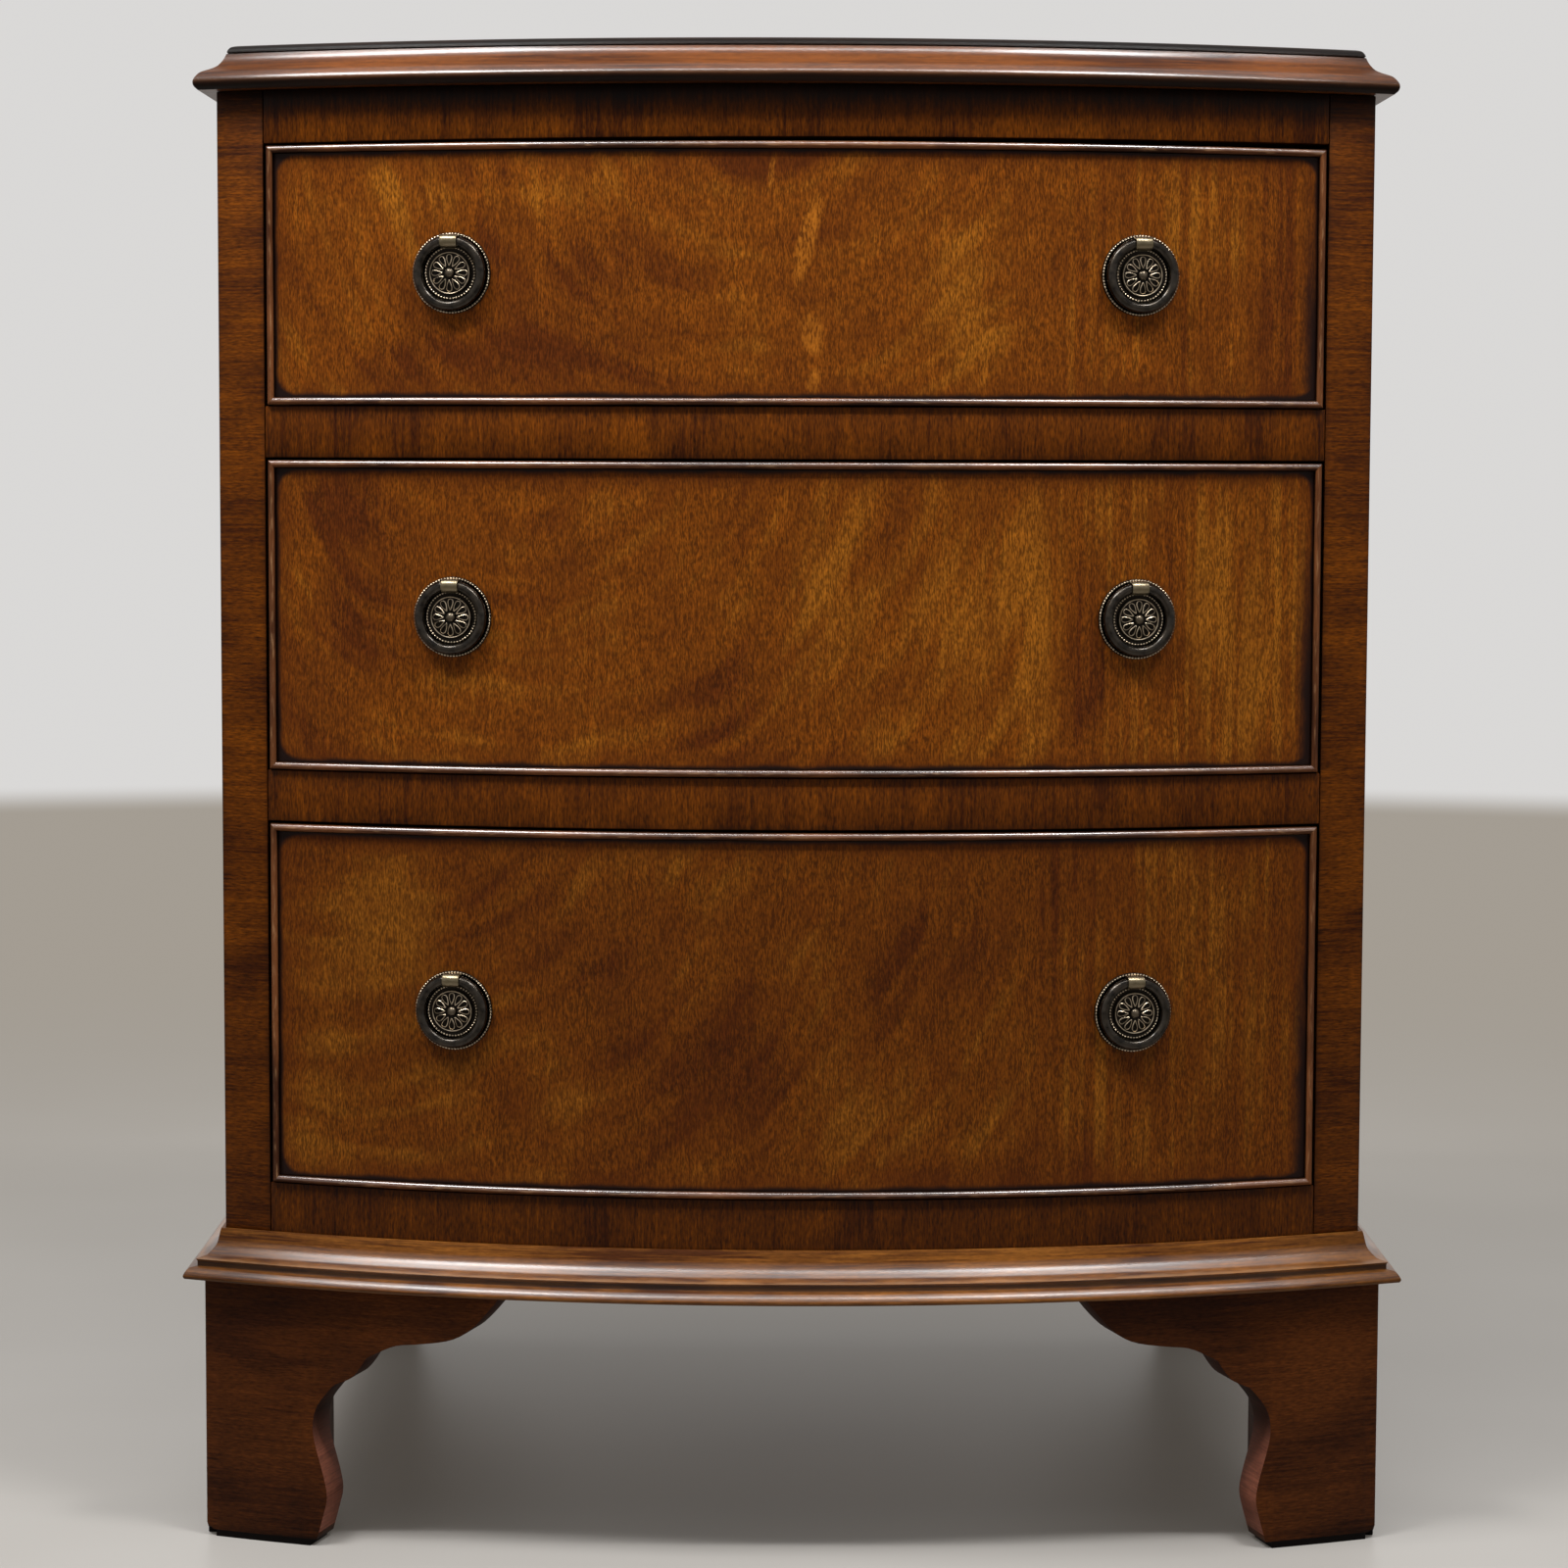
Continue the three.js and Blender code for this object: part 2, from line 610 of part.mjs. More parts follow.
// The front: a bowed face inside the cockbead, and behind it a slab that fits between the drawer's sides.
function drawerFront(heights, middle) {
  const edge = BEAD_THICKNESS + JOINT_GAP;
  const face = bowedSlab(
    BEAD_INNER_HALF - JOINT_GAP,
    0,
    -BEAD_DEPTH,
    heights.frontBottom + edge,
    heights.frontTop - edge,
  );
  const slabHalf = DRAWER_INNER_HALF - JOINT_GAP;
  const slab = bowedSlab(
    slabHalf,
    JOINT_GAP - BEAD_DEPTH,
    -DRAWER_FRONT_THICKNESS,
    heights.frontBottom + edge,
    heights.frontTop - edge,
  );
  const groove = bowedSlab(
    slabHalf + CUT_OVERRUN,
    DRAWER_GROOVE_DEPTH - DRAWER_FRONT_THICKNESS,
    -DRAWER_FRONT_THICKNESS - CUT_OVERRUN,
    heights.panelBottom - GROOVE_GAP,
    heights.panelTop + GROOVE_GAP,
  );
  const holes = [-1, 1].map((side) => {
    const radius = STUD_DIAMETER / 2 + STUD_CLEARANCE;
    const length = 2 * DRAWER_FRONT_THICKNESS + 2 * CUT_OVERRUN;
    const hole = new THREE.CylinderGeometry(radius, radius, length, KNUCKLE_SIDES);
    return hole.applyMatrix4(handleFrame(side, middle).matrix);
  });
  return cut(joined(face, slab), groove, ...holes);
}

// The cockbead: a rounded strip round all four edges of the front.
function cockbead(heights) {
  const nose = BEAD_NOSE_SHARES.map(([acrossShare, outShare]) => [
    acrossShare * BEAD_THICKNESS,
    outShare * BEAD_PROUD,
  ]);
  const section = [[0, -BEAD_DEPTH], ...nose, [BEAD_THICKNESS, -BEAD_DEPTH]];
  const strip = (bottom) => {
    const rings = Array.from({ length: BOW_STEPS + 1 }, (_, i) => {
      const x = DRAWER_HALF_WIDTH * ((2 * i) / BOW_STEPS - 1);
      return section.map(([across, out]) => new THREE.Vector3(x, bowY(x, out), bottom + across));
    });
    return loft(rings, (p) => point(p.y, p.z));
  };
  const upright = section.map(([across, out]) => {
    const x = BEAD_INNER_HALF + across;
    return point(x, bowY(x, out));
  });
  const right = raised(upright, heights.frontBottom, heights.frontTop);
  return joined(strip(heights.frontBottom), strip(heights.frontTop - BEAD_THICKNESS), right, mirrored(right));
}

// The right-hand side, with a groove for the bottom.
function drawerSide(heights) {
  const outline = [
    ...bowLine(DRAWER_INNER_HALF, DRAWER_HALF_WIDTH, SIDE_LAP_OUT, CORNER_BOW_STEPS),
    point(DRAWER_HALF_WIDTH, DRAWER_BACK_END_Y),
    point(DRAWER_INNER_HALF, DRAWER_BACK_END_Y),
  ];
  const groove = block(
    DRAWER_INNER_HALF - CUT_OVERRUN,
    DRAWER_INNER_HALF + DRAWER_GROOVE_DEPTH,
    bowY(DRAWER_INNER_HALF, -DRAWER_FRONT_THICKNESS),
    DRAWER_BACK_END_Y + CUT_OVERRUN,
    heights.panelBottom - GROOVE_GAP,
    heights.panelTop + GROOVE_GAP,
  );
  return cut(raised(outline, heights.sideBottom, heights.sideTop), groove);
}

// The back stands between the sides, on the bottom.
function drawerBack(heights) {
  const half = DRAWER_INNER_HALF - JOINT_GAP;
  const backY = DRAWER_BACK_END_Y - DRAWER_BACK_INSET;
  const bottom = heights.panelTop + GROOVE_GAP;
  return block(-half, half, backY - DRAWER_BACK_THICKNESS, backY, bottom, heights.sideTop - DRAWER_BACK_DROP);
}

// The bottom lies in the grooves of the front and the sides, and runs under the back.
function drawerBottom(heights) {
  const half = DRAWER_INNER_HALF - JOINT_GAP;
  const grooveHalf = DRAWER_INNER_HALF + DRAWER_GROOVE_DEPTH - GROOVE_GAP;
  const frontOut = DRAWER_GROOVE_DEPTH - DRAWER_FRONT_THICKNESS - GROOVE_GAP;
  const backY = DRAWER_BACK_END_Y - DRAWER_BACK_INSET;
  const shoulderY = bowY(DRAWER_INNER_HALF, -DRAWER_FRONT_THICKNESS) + JOINT_GAP;
  const outline = [
    ...bowLine(-half, half, frontOut, BOW_STEPS),
    point(half, shoulderY),
    point(grooveHalf, shoulderY),
    point(grooveHalf, backY),
    point(-grooveHalf, backY),
    point(-grooveHalf, shoulderY),
    point(-half, shoulderY),
  ];
  return raised(outline, heights.panelBottom, heights.panelTop);
}

// Where a pull sits: on the bowed face, at half the drawer's height, square to the face.
function handleFrame(side, middle) {
  const frame = new THREE.Group();
  frame.position.set(side * HANDLE_SPREAD, bowY(HANDLE_SPREAD, 0), middle);
  frame.rotation.z = side * HANDLE_TURN;
  frame.updateMatrix();
  return frame;
}

// The backplate with its rosette, its knuckle for the ring, and the stud that holds it to the drawer.
function handlePlate() {
  const radius = PLATE_DIAMETER / 2;
  const rosette = ROSETTE_DIAMETER / 2;
  const dome = ROSETTE_DOME_DIAMETER / 2;
  const stud = STUD_DIAMETER / 2;
  const face = JOINT_GAP + PLATE_THICKNESS;
  const rim = face + PLATE_RIM_HEIGHT;
  const profile = [
    [0, -DRAWER_FRONT_THICKNESS - STUD_REACH],
    [stud, -DRAWER_FRONT_THICKNESS - STUD_REACH],
    [stud, JOINT_GAP],
    [radius, JOINT_GAP],
    [radius, face],
    [radius * OUTER_BEAD_SHARE, rim],
    [radius * CHANNEL_OUTER_SHARE, face],
    [radius * CHANNEL_INNER_SHARE, face],
    [radius * INNER_BEAD_SHARE, face + PLATE_BOSS_HEIGHT],
    [rosette, face + PLATE_BOSS_HEIGHT],
    [rosette, face + ROSETTE_HEIGHT],
    [rosette * ROSETTE_RIM_SHARE, face + ROSETTE_HEIGHT],
    [dome, face + ROSETTE_HEIGHT * ROSETTE_DISH_SHARE],
    [0, face + ROSETTE_DOME_HEIGHT],
  ];
  const points = profile.map(([r, height]) => point(r, -height));
  const disc = facingOut(new THREE.LatheGeometry(points, PLATE_SIDES));
  const barrel = barAlongX(KNUCKLE_DIAMETER / 2, KNUCKLE_WIDTH, KNUCKLE_SIDES, -RING_STANDOFF, PIVOT_HEIGHT);
  const neckTop = PIVOT_HEIGHT + KNUCKLE_NECK_HEIGHT / 2;
  const neck = block(
    -KNUCKLE_WIDTH / 2,
    KNUCKLE_WIDTH / 2,
    -RING_STANDOFF,
    -JOINT_GAP - PLATE_THICKNESS / 2,
    neckTop - KNUCKLE_NECK_HEIGHT,
    neckTop,
  );
  const boreRadius = PIVOT_DIAMETER / 2 + PIVOT_CLEARANCE;
  const boreLength = KNUCKLE_WIDTH + 2 * CUT_OVERRUN;
  const bore = barAlongX(boreRadius, boreLength, KNUCKLE_SIDES, -RING_STANDOFF, PIVOT_HEIGHT);
  return cut(joined(disc, barrel, neck), bore);
}

// The ring, open at the top, where a thinner pivot joins its ends through the knuckle.
function handleRing() {
  const radius = RING_DIAMETER / 2;
  const bar = RING_BAR_DIAMETER / 2;
  const hoop = new THREE.TorusGeometry(radius, bar, RING_SIDES, RING_STEPS);
  hoop.rotateX(Math.PI / 2).translate(0, -RING_STANDOFF, 0);
  const gap = KNUCKLE_WIDTH / 2 + PIVOT_CLEARANCE;
  const mouth = block(-gap, gap, -RING_STANDOFF - RING_BAR_DIAMETER, -RING_STANDOFF + RING_BAR_DIAMETER, 0, radius * 2);
  const pivotLength = 2 * (gap + PIVOT_BITE);
  const pivot = barAlongX(PIVOT_DIAMETER / 2, pivotLength, KNUCKLE_SIDES, -RING_STANDOFF, PIVOT_HEIGHT);
  return joined(cut(hoop, mouth), pivot);
}

const PLATE_GEOMETRY = handlePlate();
const RING_GEOMETRY = handleRing();

function handle(drawerName, sideName, side, middle) {
  const frame = handleFrame(side, middle);
  frame.add(piece(`${drawerName}_handle_plate_${sideName}`, PLATE_GEOMETRY, 'brass'));
  frame.add(piece(`${drawerName}_handle_ring_${sideName}`, RING_GEOMETRY, 'brass'));
  return frame;
}

function drawer(name, opening) {
  const heights = drawerHeights(opening);
  const middle = (opening.bottom + opening.top) / 2;
  return [
    piece(`${name}_front`, drawerFront(heights, middle), 'veneer'),
    piece(`${name}_cockbead`, cockbead(heights), 'moulding'),
    ...pair(`${name}_side`, drawerSide(heights), 'lining'),
    piece(`${name}_back`, drawerBack(heights), 'lining'),
    piece(`${name}_bottom`, drawerBottom(heights), 'ply'),
    handle(name, 'left', -1, middle),
    handle(name, 'right', 1, middle),
  ];
}

const chest = new THREE.Group();
chest.add(...carcass(), ...runners(), ...base());
['lower_drawer', 'middle_drawer', 'upper_drawer'].forEach((name, i) => {
  chest.add(...drawer(name, OPENINGS[i]));
});

export default chest;
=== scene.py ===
import json
from math import asin, atan2, cos, pi, radians, sin, sqrt

import bmesh
import bpy
from bpy.props import FloatProperty, FloatVectorProperty, PointerProperty
from bpy.types import Operator, Panel, PropertyGroup
from mathutils import Matrix, Vector


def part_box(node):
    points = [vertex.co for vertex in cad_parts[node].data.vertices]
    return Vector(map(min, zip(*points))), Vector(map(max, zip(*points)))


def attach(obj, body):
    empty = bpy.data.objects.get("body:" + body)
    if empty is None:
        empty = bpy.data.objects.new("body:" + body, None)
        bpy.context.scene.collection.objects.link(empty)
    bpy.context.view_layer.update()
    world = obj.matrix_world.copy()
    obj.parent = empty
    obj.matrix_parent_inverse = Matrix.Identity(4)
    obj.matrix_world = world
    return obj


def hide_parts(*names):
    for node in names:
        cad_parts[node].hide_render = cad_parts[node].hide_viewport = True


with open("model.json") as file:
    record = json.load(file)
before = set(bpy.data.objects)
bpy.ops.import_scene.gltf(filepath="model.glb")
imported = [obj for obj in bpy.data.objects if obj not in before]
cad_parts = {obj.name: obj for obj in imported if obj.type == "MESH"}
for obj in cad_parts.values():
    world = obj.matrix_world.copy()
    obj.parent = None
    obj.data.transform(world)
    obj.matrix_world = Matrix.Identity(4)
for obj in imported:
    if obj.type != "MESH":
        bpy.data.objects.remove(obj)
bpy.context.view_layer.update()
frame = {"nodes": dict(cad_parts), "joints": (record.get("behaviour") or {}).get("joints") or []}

# The chest stands on the floor with its bowed front towards -Y. The construction is the loaded frame;
# this file gives every visible piece its worked shape and its finish.

bl_info = {
    "name": "Bow Front Chest of Drawers",
    "version": (1, 0, 0),
    "blender": (4, 5, 0),
    "location": "View3D > Sidebar > Chest",
    "description": "Dresses the frame of a bow front chest: mouldings, veneers, cockbeads, feet and pulls",
    "category": "Object",
}

MM = 0.001
DRAWERS = ("lower_drawer", "middle_drawer", "upper_drawer")
SIDES = {"left": -1, "right": 1}

# What the frame says about the carcass and its bow
SIDE_LOW, SIDE_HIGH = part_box("side_right")
BOTTOM_RAIL_LOW, BOTTOM_RAIL_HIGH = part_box("bottom_front_rail")
HALF_WIDTH = SIDE_HIGH.x
HALF_OPENING = SIDE_LOW.x
BACK_Y = SIDE_HIGH.y
BOW_RISE = SIDE_LOW.y - BOTTOM_RAIL_LOW.y
BOW_RADIUS = (BOW_RISE**2 + HALF_OPENING**2) / (2 * BOW_RISE)
BOW_CENTRE_Y = BOTTOM_RAIL_LOW.y + BOW_RADIUS
JOINT_GAP = HALF_OPENING - BOTTOM_RAIL_HIGH.x
UP = Vector((0, 0, 1))
ALONG = Vector((1, 0, 0))
BACKWARDS = Vector((0, 1, 0))

BASE_LOW, BASE_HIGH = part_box("base_moulding_right")
# Where the base moulding's cove is polished, in millimetres over its lower edge
COVE_HEIGHT = 0.56 * (BASE_HIGH.z - BASE_LOW.z) / MM

# How many straight steps stand for a curve: the bow where it shows most, the bow elsewhere, its part across a
# foot and its part across a stile
FINE_BOW_STEPS = 64
BOW_STEPS = 48
FOOT_STEPS = 24
STILE_STEPS = 3
# How many steps stand for a full turn of a pull, and how many beads and petals each plate has
LATHE_STEPS = 72
OUTER_BEADS = 78
INNER_BEADS = 52
PETALS = 12
# Faces that meet at less than this many degrees are shaded as one
SMOOTH_ANGLE = 35
# Points closer than this are one point
MERGE_DISTANCE = 0.002 * MM


def number(name, description, default, unit="NONE", **limits):
    return FloatProperty(name=name, description=description, default=default, unit=unit, **limits)


def length(name, description, millimetres):
    return number(name, description, millimetres * MM, "LENGTH", precision=5)


def angle(name, description, degrees):
    return number(name, description, radians(degrees), "ROTATION")


def power(name, description, watts):
    return number(name, description, watts, "POWER", min=0)


def colour(name, description, red, green, blue):
    shade = (red, green, blue)
    return FloatVectorProperty(
        name=name, description=description, default=shade, size=3, min=0, max=1, subtype="COLOR"
    )


class ChestSizes(PropertyGroup):
    edge_rounding: length("Edge rounding", "Worn rounding of the arrises of boards and rails", 0.5)
    top_edge_width: length("Top edge width", "From the nose of the top in to its flat upper face", 18.5)
    stile_facing: length("Stile facing", "Thickness of the crossbanding on the front edge of each side", 1.2)
    top_gap_rise: length("Top gap rise", "How much the gap over the top drawer widens to the right", 1.4)
    bead_thickness: length("Cockbead thickness", "Of each cockbead strip, seen from the front", 3.3)
    bead_proud: length("Cockbead projection", "How far the cockbead stands proud of the drawer", 2.6)
    bead_depth: length("Cockbead depth", "From the drawer's face back to the seat of the cockbead", 10)
    foot_bevel: length("Foot bevel", "Of the outer lower corner of each foot", 3)
    foot_pad: length("Foot pad", "Height of the dark, narrower bottom that each foot stands on", 3)
    groove_depth: length("Groove depth", "Of the groove for the drawer bottom", 4)
    stud_hole: length("Stud hole", "Diameter of each stud's hole through a drawer front", 4.8)


class PullSizes(PropertyGroup):
    plate: length("Backplate", "Diameter of the round backplate", 36.4)
    plate_thickness: length("Plate thickness", "Of the backplate at its beaded rim", 0.9)
    channel_dip: length("Channel dip", "Depth of the dished channel between the two beaded rims", 0.3)
    outer_bead: length("Outer bead", "Diameter of each bead of the outer rim", 1.25)
    boss_height: length("Boss height", "Of the beaded boss inside the ring, above the plate", 1.5)
    inner_bead: length("Inner bead", "Diameter of each bead on the boss", 1.15)
    rosette: length("Rosette", "Diameter of the rosette's thin raised rim", 18.4)
    rosette_height: length("Rosette height", "Of that rim above the plate", 2.9)
    dome: length("Dome", "Diameter of the knob in the middle", 4.4)
    dome_height: length("Dome height", "Of the knob above the plate", 4.7)
    ring: length("Ring", "Diameter of the ring, to the middle of its bar", 29.2)
    ring_bar: length("Ring bar", "Diameter of the bar", 4.5)
    standoff: length("Ring standoff", "From the drawer's face to the plane of the ring", 4.3)
    pivot: length("Pivot", "Diameter of the pivot through the knuckle", 3.2)
    pivot_height: length("Pivot height", "Above the middle of the plate", 14.2)
    pivot_clearance: length("Pivot clearance", "Round the pivot and beside the knuckle", 0.35)
    knuckle_width: length("Knuckle width", "Of the strap that holds the pivot", 8)
    knuckle: length("Knuckle", "Diameter of the round front of the strap", 6.2)
    stud: length("Stud", "Diameter of the threaded stud", 4)
    stud_length: length("Stud length", "From the drawer's face to the stud's end inside the drawer", 26)
    nut: length("Nut", "Across the flats", 7)
    nut_thickness: length("Nut thickness", "Of the hexagonal nut", 3)
    washer: length("Washer", "Diameter of the washer under each nut", 10)


class ChestColours(PropertyGroup):
    veneer_light: colour("Veneer, light", "Lit parts of the figure on the drawers", 0.262, 0.086, 0.0060)
    veneer: colour("Veneer", "Most of the drawer fronts", 0.163, 0.0425, 0.0024)
    veneer_dark: colour("Veneer, dark", "Shaded parts of the figure", 0.080, 0.0175, 0.0018)
    streak: colour("Streak", "The wavy light streak on the top drawer", 0.400, 0.128, 0.0100)
    # Partly painted shade: the black beside the cockbeads is old polish and also shade painted into the
    # crease.
    polish_and_shade: colour("Patina", "Old polish gathered beside the cockbeads", 0.0100, 0.0040, 0.0030)
    rail_light: colour("Rail, light", "Light streaks of the crossbanding", 0.132, 0.033, 0.0012)
    rail_dark: colour("Rail, dark", "Dark streaks of the crossbanding", 0.040, 0.0082, 0.0006)
    stile_light: colour("Stile, light", "Light lines of the stiles and side veneer", 0.115, 0.029, 0.0010)
    stile_dark: colour("Stile, dark", "Dark lines of the stiles and side veneer", 0.036, 0.0076, 0.0006)
    moulding_light: colour("Moulding, light", "Light grain of the top moulding", 0.122, 0.034, 0.0048)
    moulding_dark: colour("Moulding, dark", "Dark grain of the top moulding", 0.038, 0.0085, 0.0008)
    base_light: colour("Base, light", "Light grain of the base moulding", 0.210, 0.075, 0.0120)
    base_dark: colour("Base, dark", "Dark grain of the base moulding", 0.058, 0.0165, 0.0040)
    worn_edge: colour("Worn edge", "Arrises rubbed through their polish", 0.420, 0.230, 0.1100)
    bead_light: colour("Cockbead, light", "Light grain of the cockbeads", 0.135, 0.045, 0.0140)
    bead_dark: colour("Cockbead, dark", "Dark grain of the cockbeads", 0.040, 0.012, 0.0040)
    foot_light: colour("Foot, light", "Light lines of the feet", 0.067, 0.0180, 0.0034)
    foot_dark: colour("Foot, dark", "Dark lines of the feet", 0.025, 0.0064, 0.0016)
    foot_edge: colour("Foot edge", "Sawn inner edges of the feet", 0.230, 0.080, 0.0480)
    foot_edge_dark: colour("Foot edge, dark", "Dark grain of the sawn edges", 0.075, 0.024, 0.0140)
    lining_light: colour("Lining, light", "Bare wood inside", 0.520, 0.340, 0.1800)
    lining_dark: colour("Lining, dark", "Dark grain of the bare wood inside", 0.330, 0.190, 0.0900)
    brass_dark: colour("Brass, black", "Tarnish in the hollows", 0.012, 0.010, 0.0080)
    brass_brown: colour("Brass, brown", "Tarnish elsewhere", 0.060, 0.048, 0.0360)
    brass_strap: colour("Brass, strap", "The straps that hold the rings", 0.105, 0.085, 0.0480)
    brass_worn: colour("Brass, worn", "Brass rubbed bright", 0.520, 0.420, 0.3000)
    steel: colour("Steel", "Nuts and washers", 0.420, 0.400, 0.3700)


class StageSizes(PropertyGroup):
    lens: number("Lens", "Focal length in millimetres", 90.9, min=10)
    camera_height: length("Camera height", "Above the floor", 505)
    camera_distance: length("Camera distance", "In front of the corners of the carcass", 1829.7)
    camera_side: length("Camera side", "To the right of the middle", -9.2)
    camera_pitch: angle("Pitch", "Below level", 4.72)
    camera_yaw: angle("Yaw", "To the right", 0.145)
    camera_roll: angle("Roll", "To the left", 0.2)
    floor_radius: length("Floor radius", "Of the round floor", 4200)
    floor: colour("Floor", "The pale floor", 0.38, 0.36, 0.335)
    floor_light: colour("Floor, light", "Lighter parts of the floor", 0.45, 0.43, 0.405)
    floor_far: colour("Floor, far", "The floor where it runs into the background", 0.37, 0.335, 0.29)
    background: colour("Background", "The pale background", 0.70, 0.69, 0.68)
    ambient: number("Ambient light", "Strength of the light from all round", 0.2, min=0)
    left_lamp: power("Left lamp", "Power of the left softbox", 28)
    right_lamp: power("Right lamp", "Power of the right softbox", 16)
    strip_lamp: power("Strip lamp", "Power of the long strip", 30)
    ceiling_lamp: power("Ceiling lamp", "Power of the wide lamp overhead", 21)


# Drawing and shaping

def deselect_all():
    if bpy.context.mode != "OBJECT":
        bpy.ops.object.mode_set(mode="OBJECT")
    bpy.ops.object.select_all(action="DESELECT")


def pick(*pieces):
    """Selects these pieces alone and makes the first one active."""
    deselect_all()
    for piece in pieces:
        piece.select_set(True)
    bpy.context.view_layer.objects.active = pieces[0]


def edit(piece, kind="VERT"):
    """Opens a piece in edit mode with all of it selected."""
    pick(piece)
    bpy.ops.object.mode_set(mode="EDIT")
    bpy.ops.mesh.select_mode(type=kind)
    bpy.ops.mesh.select_all(action="SELECT")


def close_edit():
    bpy.ops.object.mode_set(mode="OBJECT")


def settle():
    """Puts the active object at the origin, with its place in its mesh."""
    bpy.ops.object.transform_apply(location=True, rotation=True, scale=True)


def move(piece, place):
    """Moves and turns a piece made at the origin."""
    pick(piece)
    piece.matrix_world = place
    settle()


def primitive(kind, **settings):
    """One of Blender's primitives, with its place in its mesh."""
    deselect_all()
    getattr(bpy.ops.mesh, "primitive_" + kind + "_add")(**settings)
    settle()
    return bpy.context.object


def disc(sides, radius, near, far):
    """A cylinder or prism along Y, between two depths behind the origin."""
    middle = (0, (near + far) / 2, 0)
    return primitive(
        "cylinder", vertices=sides, radius=radius, depth=far - near, location=middle, rotation=(pi / 2, 0, 0)
    )


def select(piece, kind, wanted):
    """In edit mode, selects the vertices, edges or faces that pass a test."""
    bpy.ops.mesh.select_mode(type=kind)
    bpy.ops.mesh.select_all(action="DESELECT")
    shape = bmesh.from_edit_mesh(piece.data)
    members = {"VERT": shape.verts, "EDGE": shape.edges, "FACE": shape.faces}[kind]
    for member in members:
        if wanted(member):
            member.select_set(True)
    bmesh.update_edit_mesh(piece.data)


def draw(name, points, filled=True):
    """An outline drawn by extruding one vertex from point to point, and filled."""
    deselect_all()
    bpy.ops.mesh.primitive_plane_add(size=MM, location=points[0])
    piece = bpy.context.object
    piece.name = name
    edit(piece)
    bpy.ops.mesh.merge(type="CENTER")
    for here, there in zip(points, points[1:]):
        bpy.ops.mesh.extrude_vertices_move(TRANSFORM_OT_translate={"value": there - here})
    if filled:
        shape = bmesh.from_edit_mesh(piece.data)
        first = min(shape.verts, key=lambda vertex: vertex.co.length)
        first.select_set(True)
        bmesh.update_edit_mesh(piece.data)
        bpy.ops.mesh.edge_face_add()
        bpy.ops.mesh.select_all(action="SELECT")
        bpy.ops.mesh.edge_face_add()
    close_edit()
    settle()
    return piece


def extrude(piece, step):
    """Pulls a drawn face into a body."""
    edit(piece)
    bpy.ops.mesh.extrude_region_move(TRANSFORM_OT_translate={"value": step})
    face_outwards(piece)


def face_outwards(piece):
    edit(piece)
    bpy.ops.mesh.remove_doubles(threshold=MERGE_DISTANCE)
    bpy.ops.mesh.normals_make_consistent(inside=False)
    close_edit()


def sweep_along_bow(piece):
    """Spins a section drawn at the right-hand end of the bow round to the left-hand end."""
    first = piece.data.vertices[0].co
    half_angle = atan2(first.x, BOW_CENTRE_Y - first.y)
    edit(piece)
    bpy.ops.mesh.spin(steps=FINE_BOW_STEPS, angle=2 * half_angle, center=(0, BOW_CENTRE_Y, 0), axis=UP)
    face_outwards(piece)


def cut_off(piece, point, normal):
    """Cuts away what lies past a plane, on the side that its normal points to, and closes the cut."""
    edit(piece)
    bpy.ops.mesh.bisect(plane_co=point, plane_no=normal, use_fill=True, clear_outer=True)
    close_edit()


def apply_modifier(piece, kind, **settings):
    modifier = piece.modifiers.new("Shaping", kind)
    for name, value in settings.items():
        setattr(modifier, name, value)
    pick(piece)
    bpy.ops.object.modifier_apply(modifier=modifier.name)


def combine(piece, tool, operation):
    """Cuts a piece with a tool, or joins or crosses the two, and removes the tool."""
    apply_modifier(piece, "BOOLEAN", operation=operation, solver="EXACT", object=tool)
    bpy.data.objects.remove(tool, do_unlink=True)


def round_edges(piece, width, angle=40, segments=2):
    """Rounds the edges sharper than an angle in degrees."""
    limits = {"limit_method": "ANGLE", "angle_limit": radians(angle), "use_clamp_overlap": True}
    apply_modifier(piece, "BEVEL", width=width, segments=segments, **limits)


def join(name, pieces):
    pick(*pieces)
    bpy.ops.object.join()
    joined = bpy.context.object
    joined.name = name
    return joined


def copy_of(piece, name):
    """A copy with its own mesh."""
    made = piece.copy()
    made.data = piece.data.copy()
    made.name = name
    bpy.context.scene.collection.objects.link(made)
    return made


def mirrored(piece, name):
    """The same piece on the other side of the chest."""
    made = copy_of(piece, name)
    pick(made)
    made.scale.x = -1
    settle()
    face_outwards(made)
    return made


def dress(piece, material, wanted=None):
    """Gives a piece a material: the whole piece, or the faces that pass a test."""
    piece.data.materials.append(material)
    if wanted is None:
        return
    edit(piece, "FACE")
    select(piece, "FACE", wanted)
    piece.active_material_index = len(piece.data.materials) - 1
    bpy.ops.object.material_slot_assign()
    close_edit()


def dress_node(name, material):
    """Gives a node of the frame that shows as it is a material."""
    node = frame["nodes"][name]
    node.data.materials.clear()
    node.data.materials.append(material)


def fit(piece, body, slot, *nodes):
    """Smooths a finished piece, puts it on the body that it rides on, and hides the nodes that it stands for.
    """
    pick(piece)
    bpy.ops.object.shade_smooth_by_angle(angle=radians(SMOOTH_ANGLE))
    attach(piece, body)
    if nodes:
        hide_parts(*nodes)


def fit_pair(piece, slot, node=None):
    """Fits a right-hand piece of the carcass, and its mirror image on the left."""
    left = mirrored(piece, piece.name.replace("right", "left"))
    for made, side in ((left, "_left"), (piece, "_right")):
        nodes = [] if node is None else [node + side]
        fit(made, "carcass", slot, *nodes)


# Lines and outlines

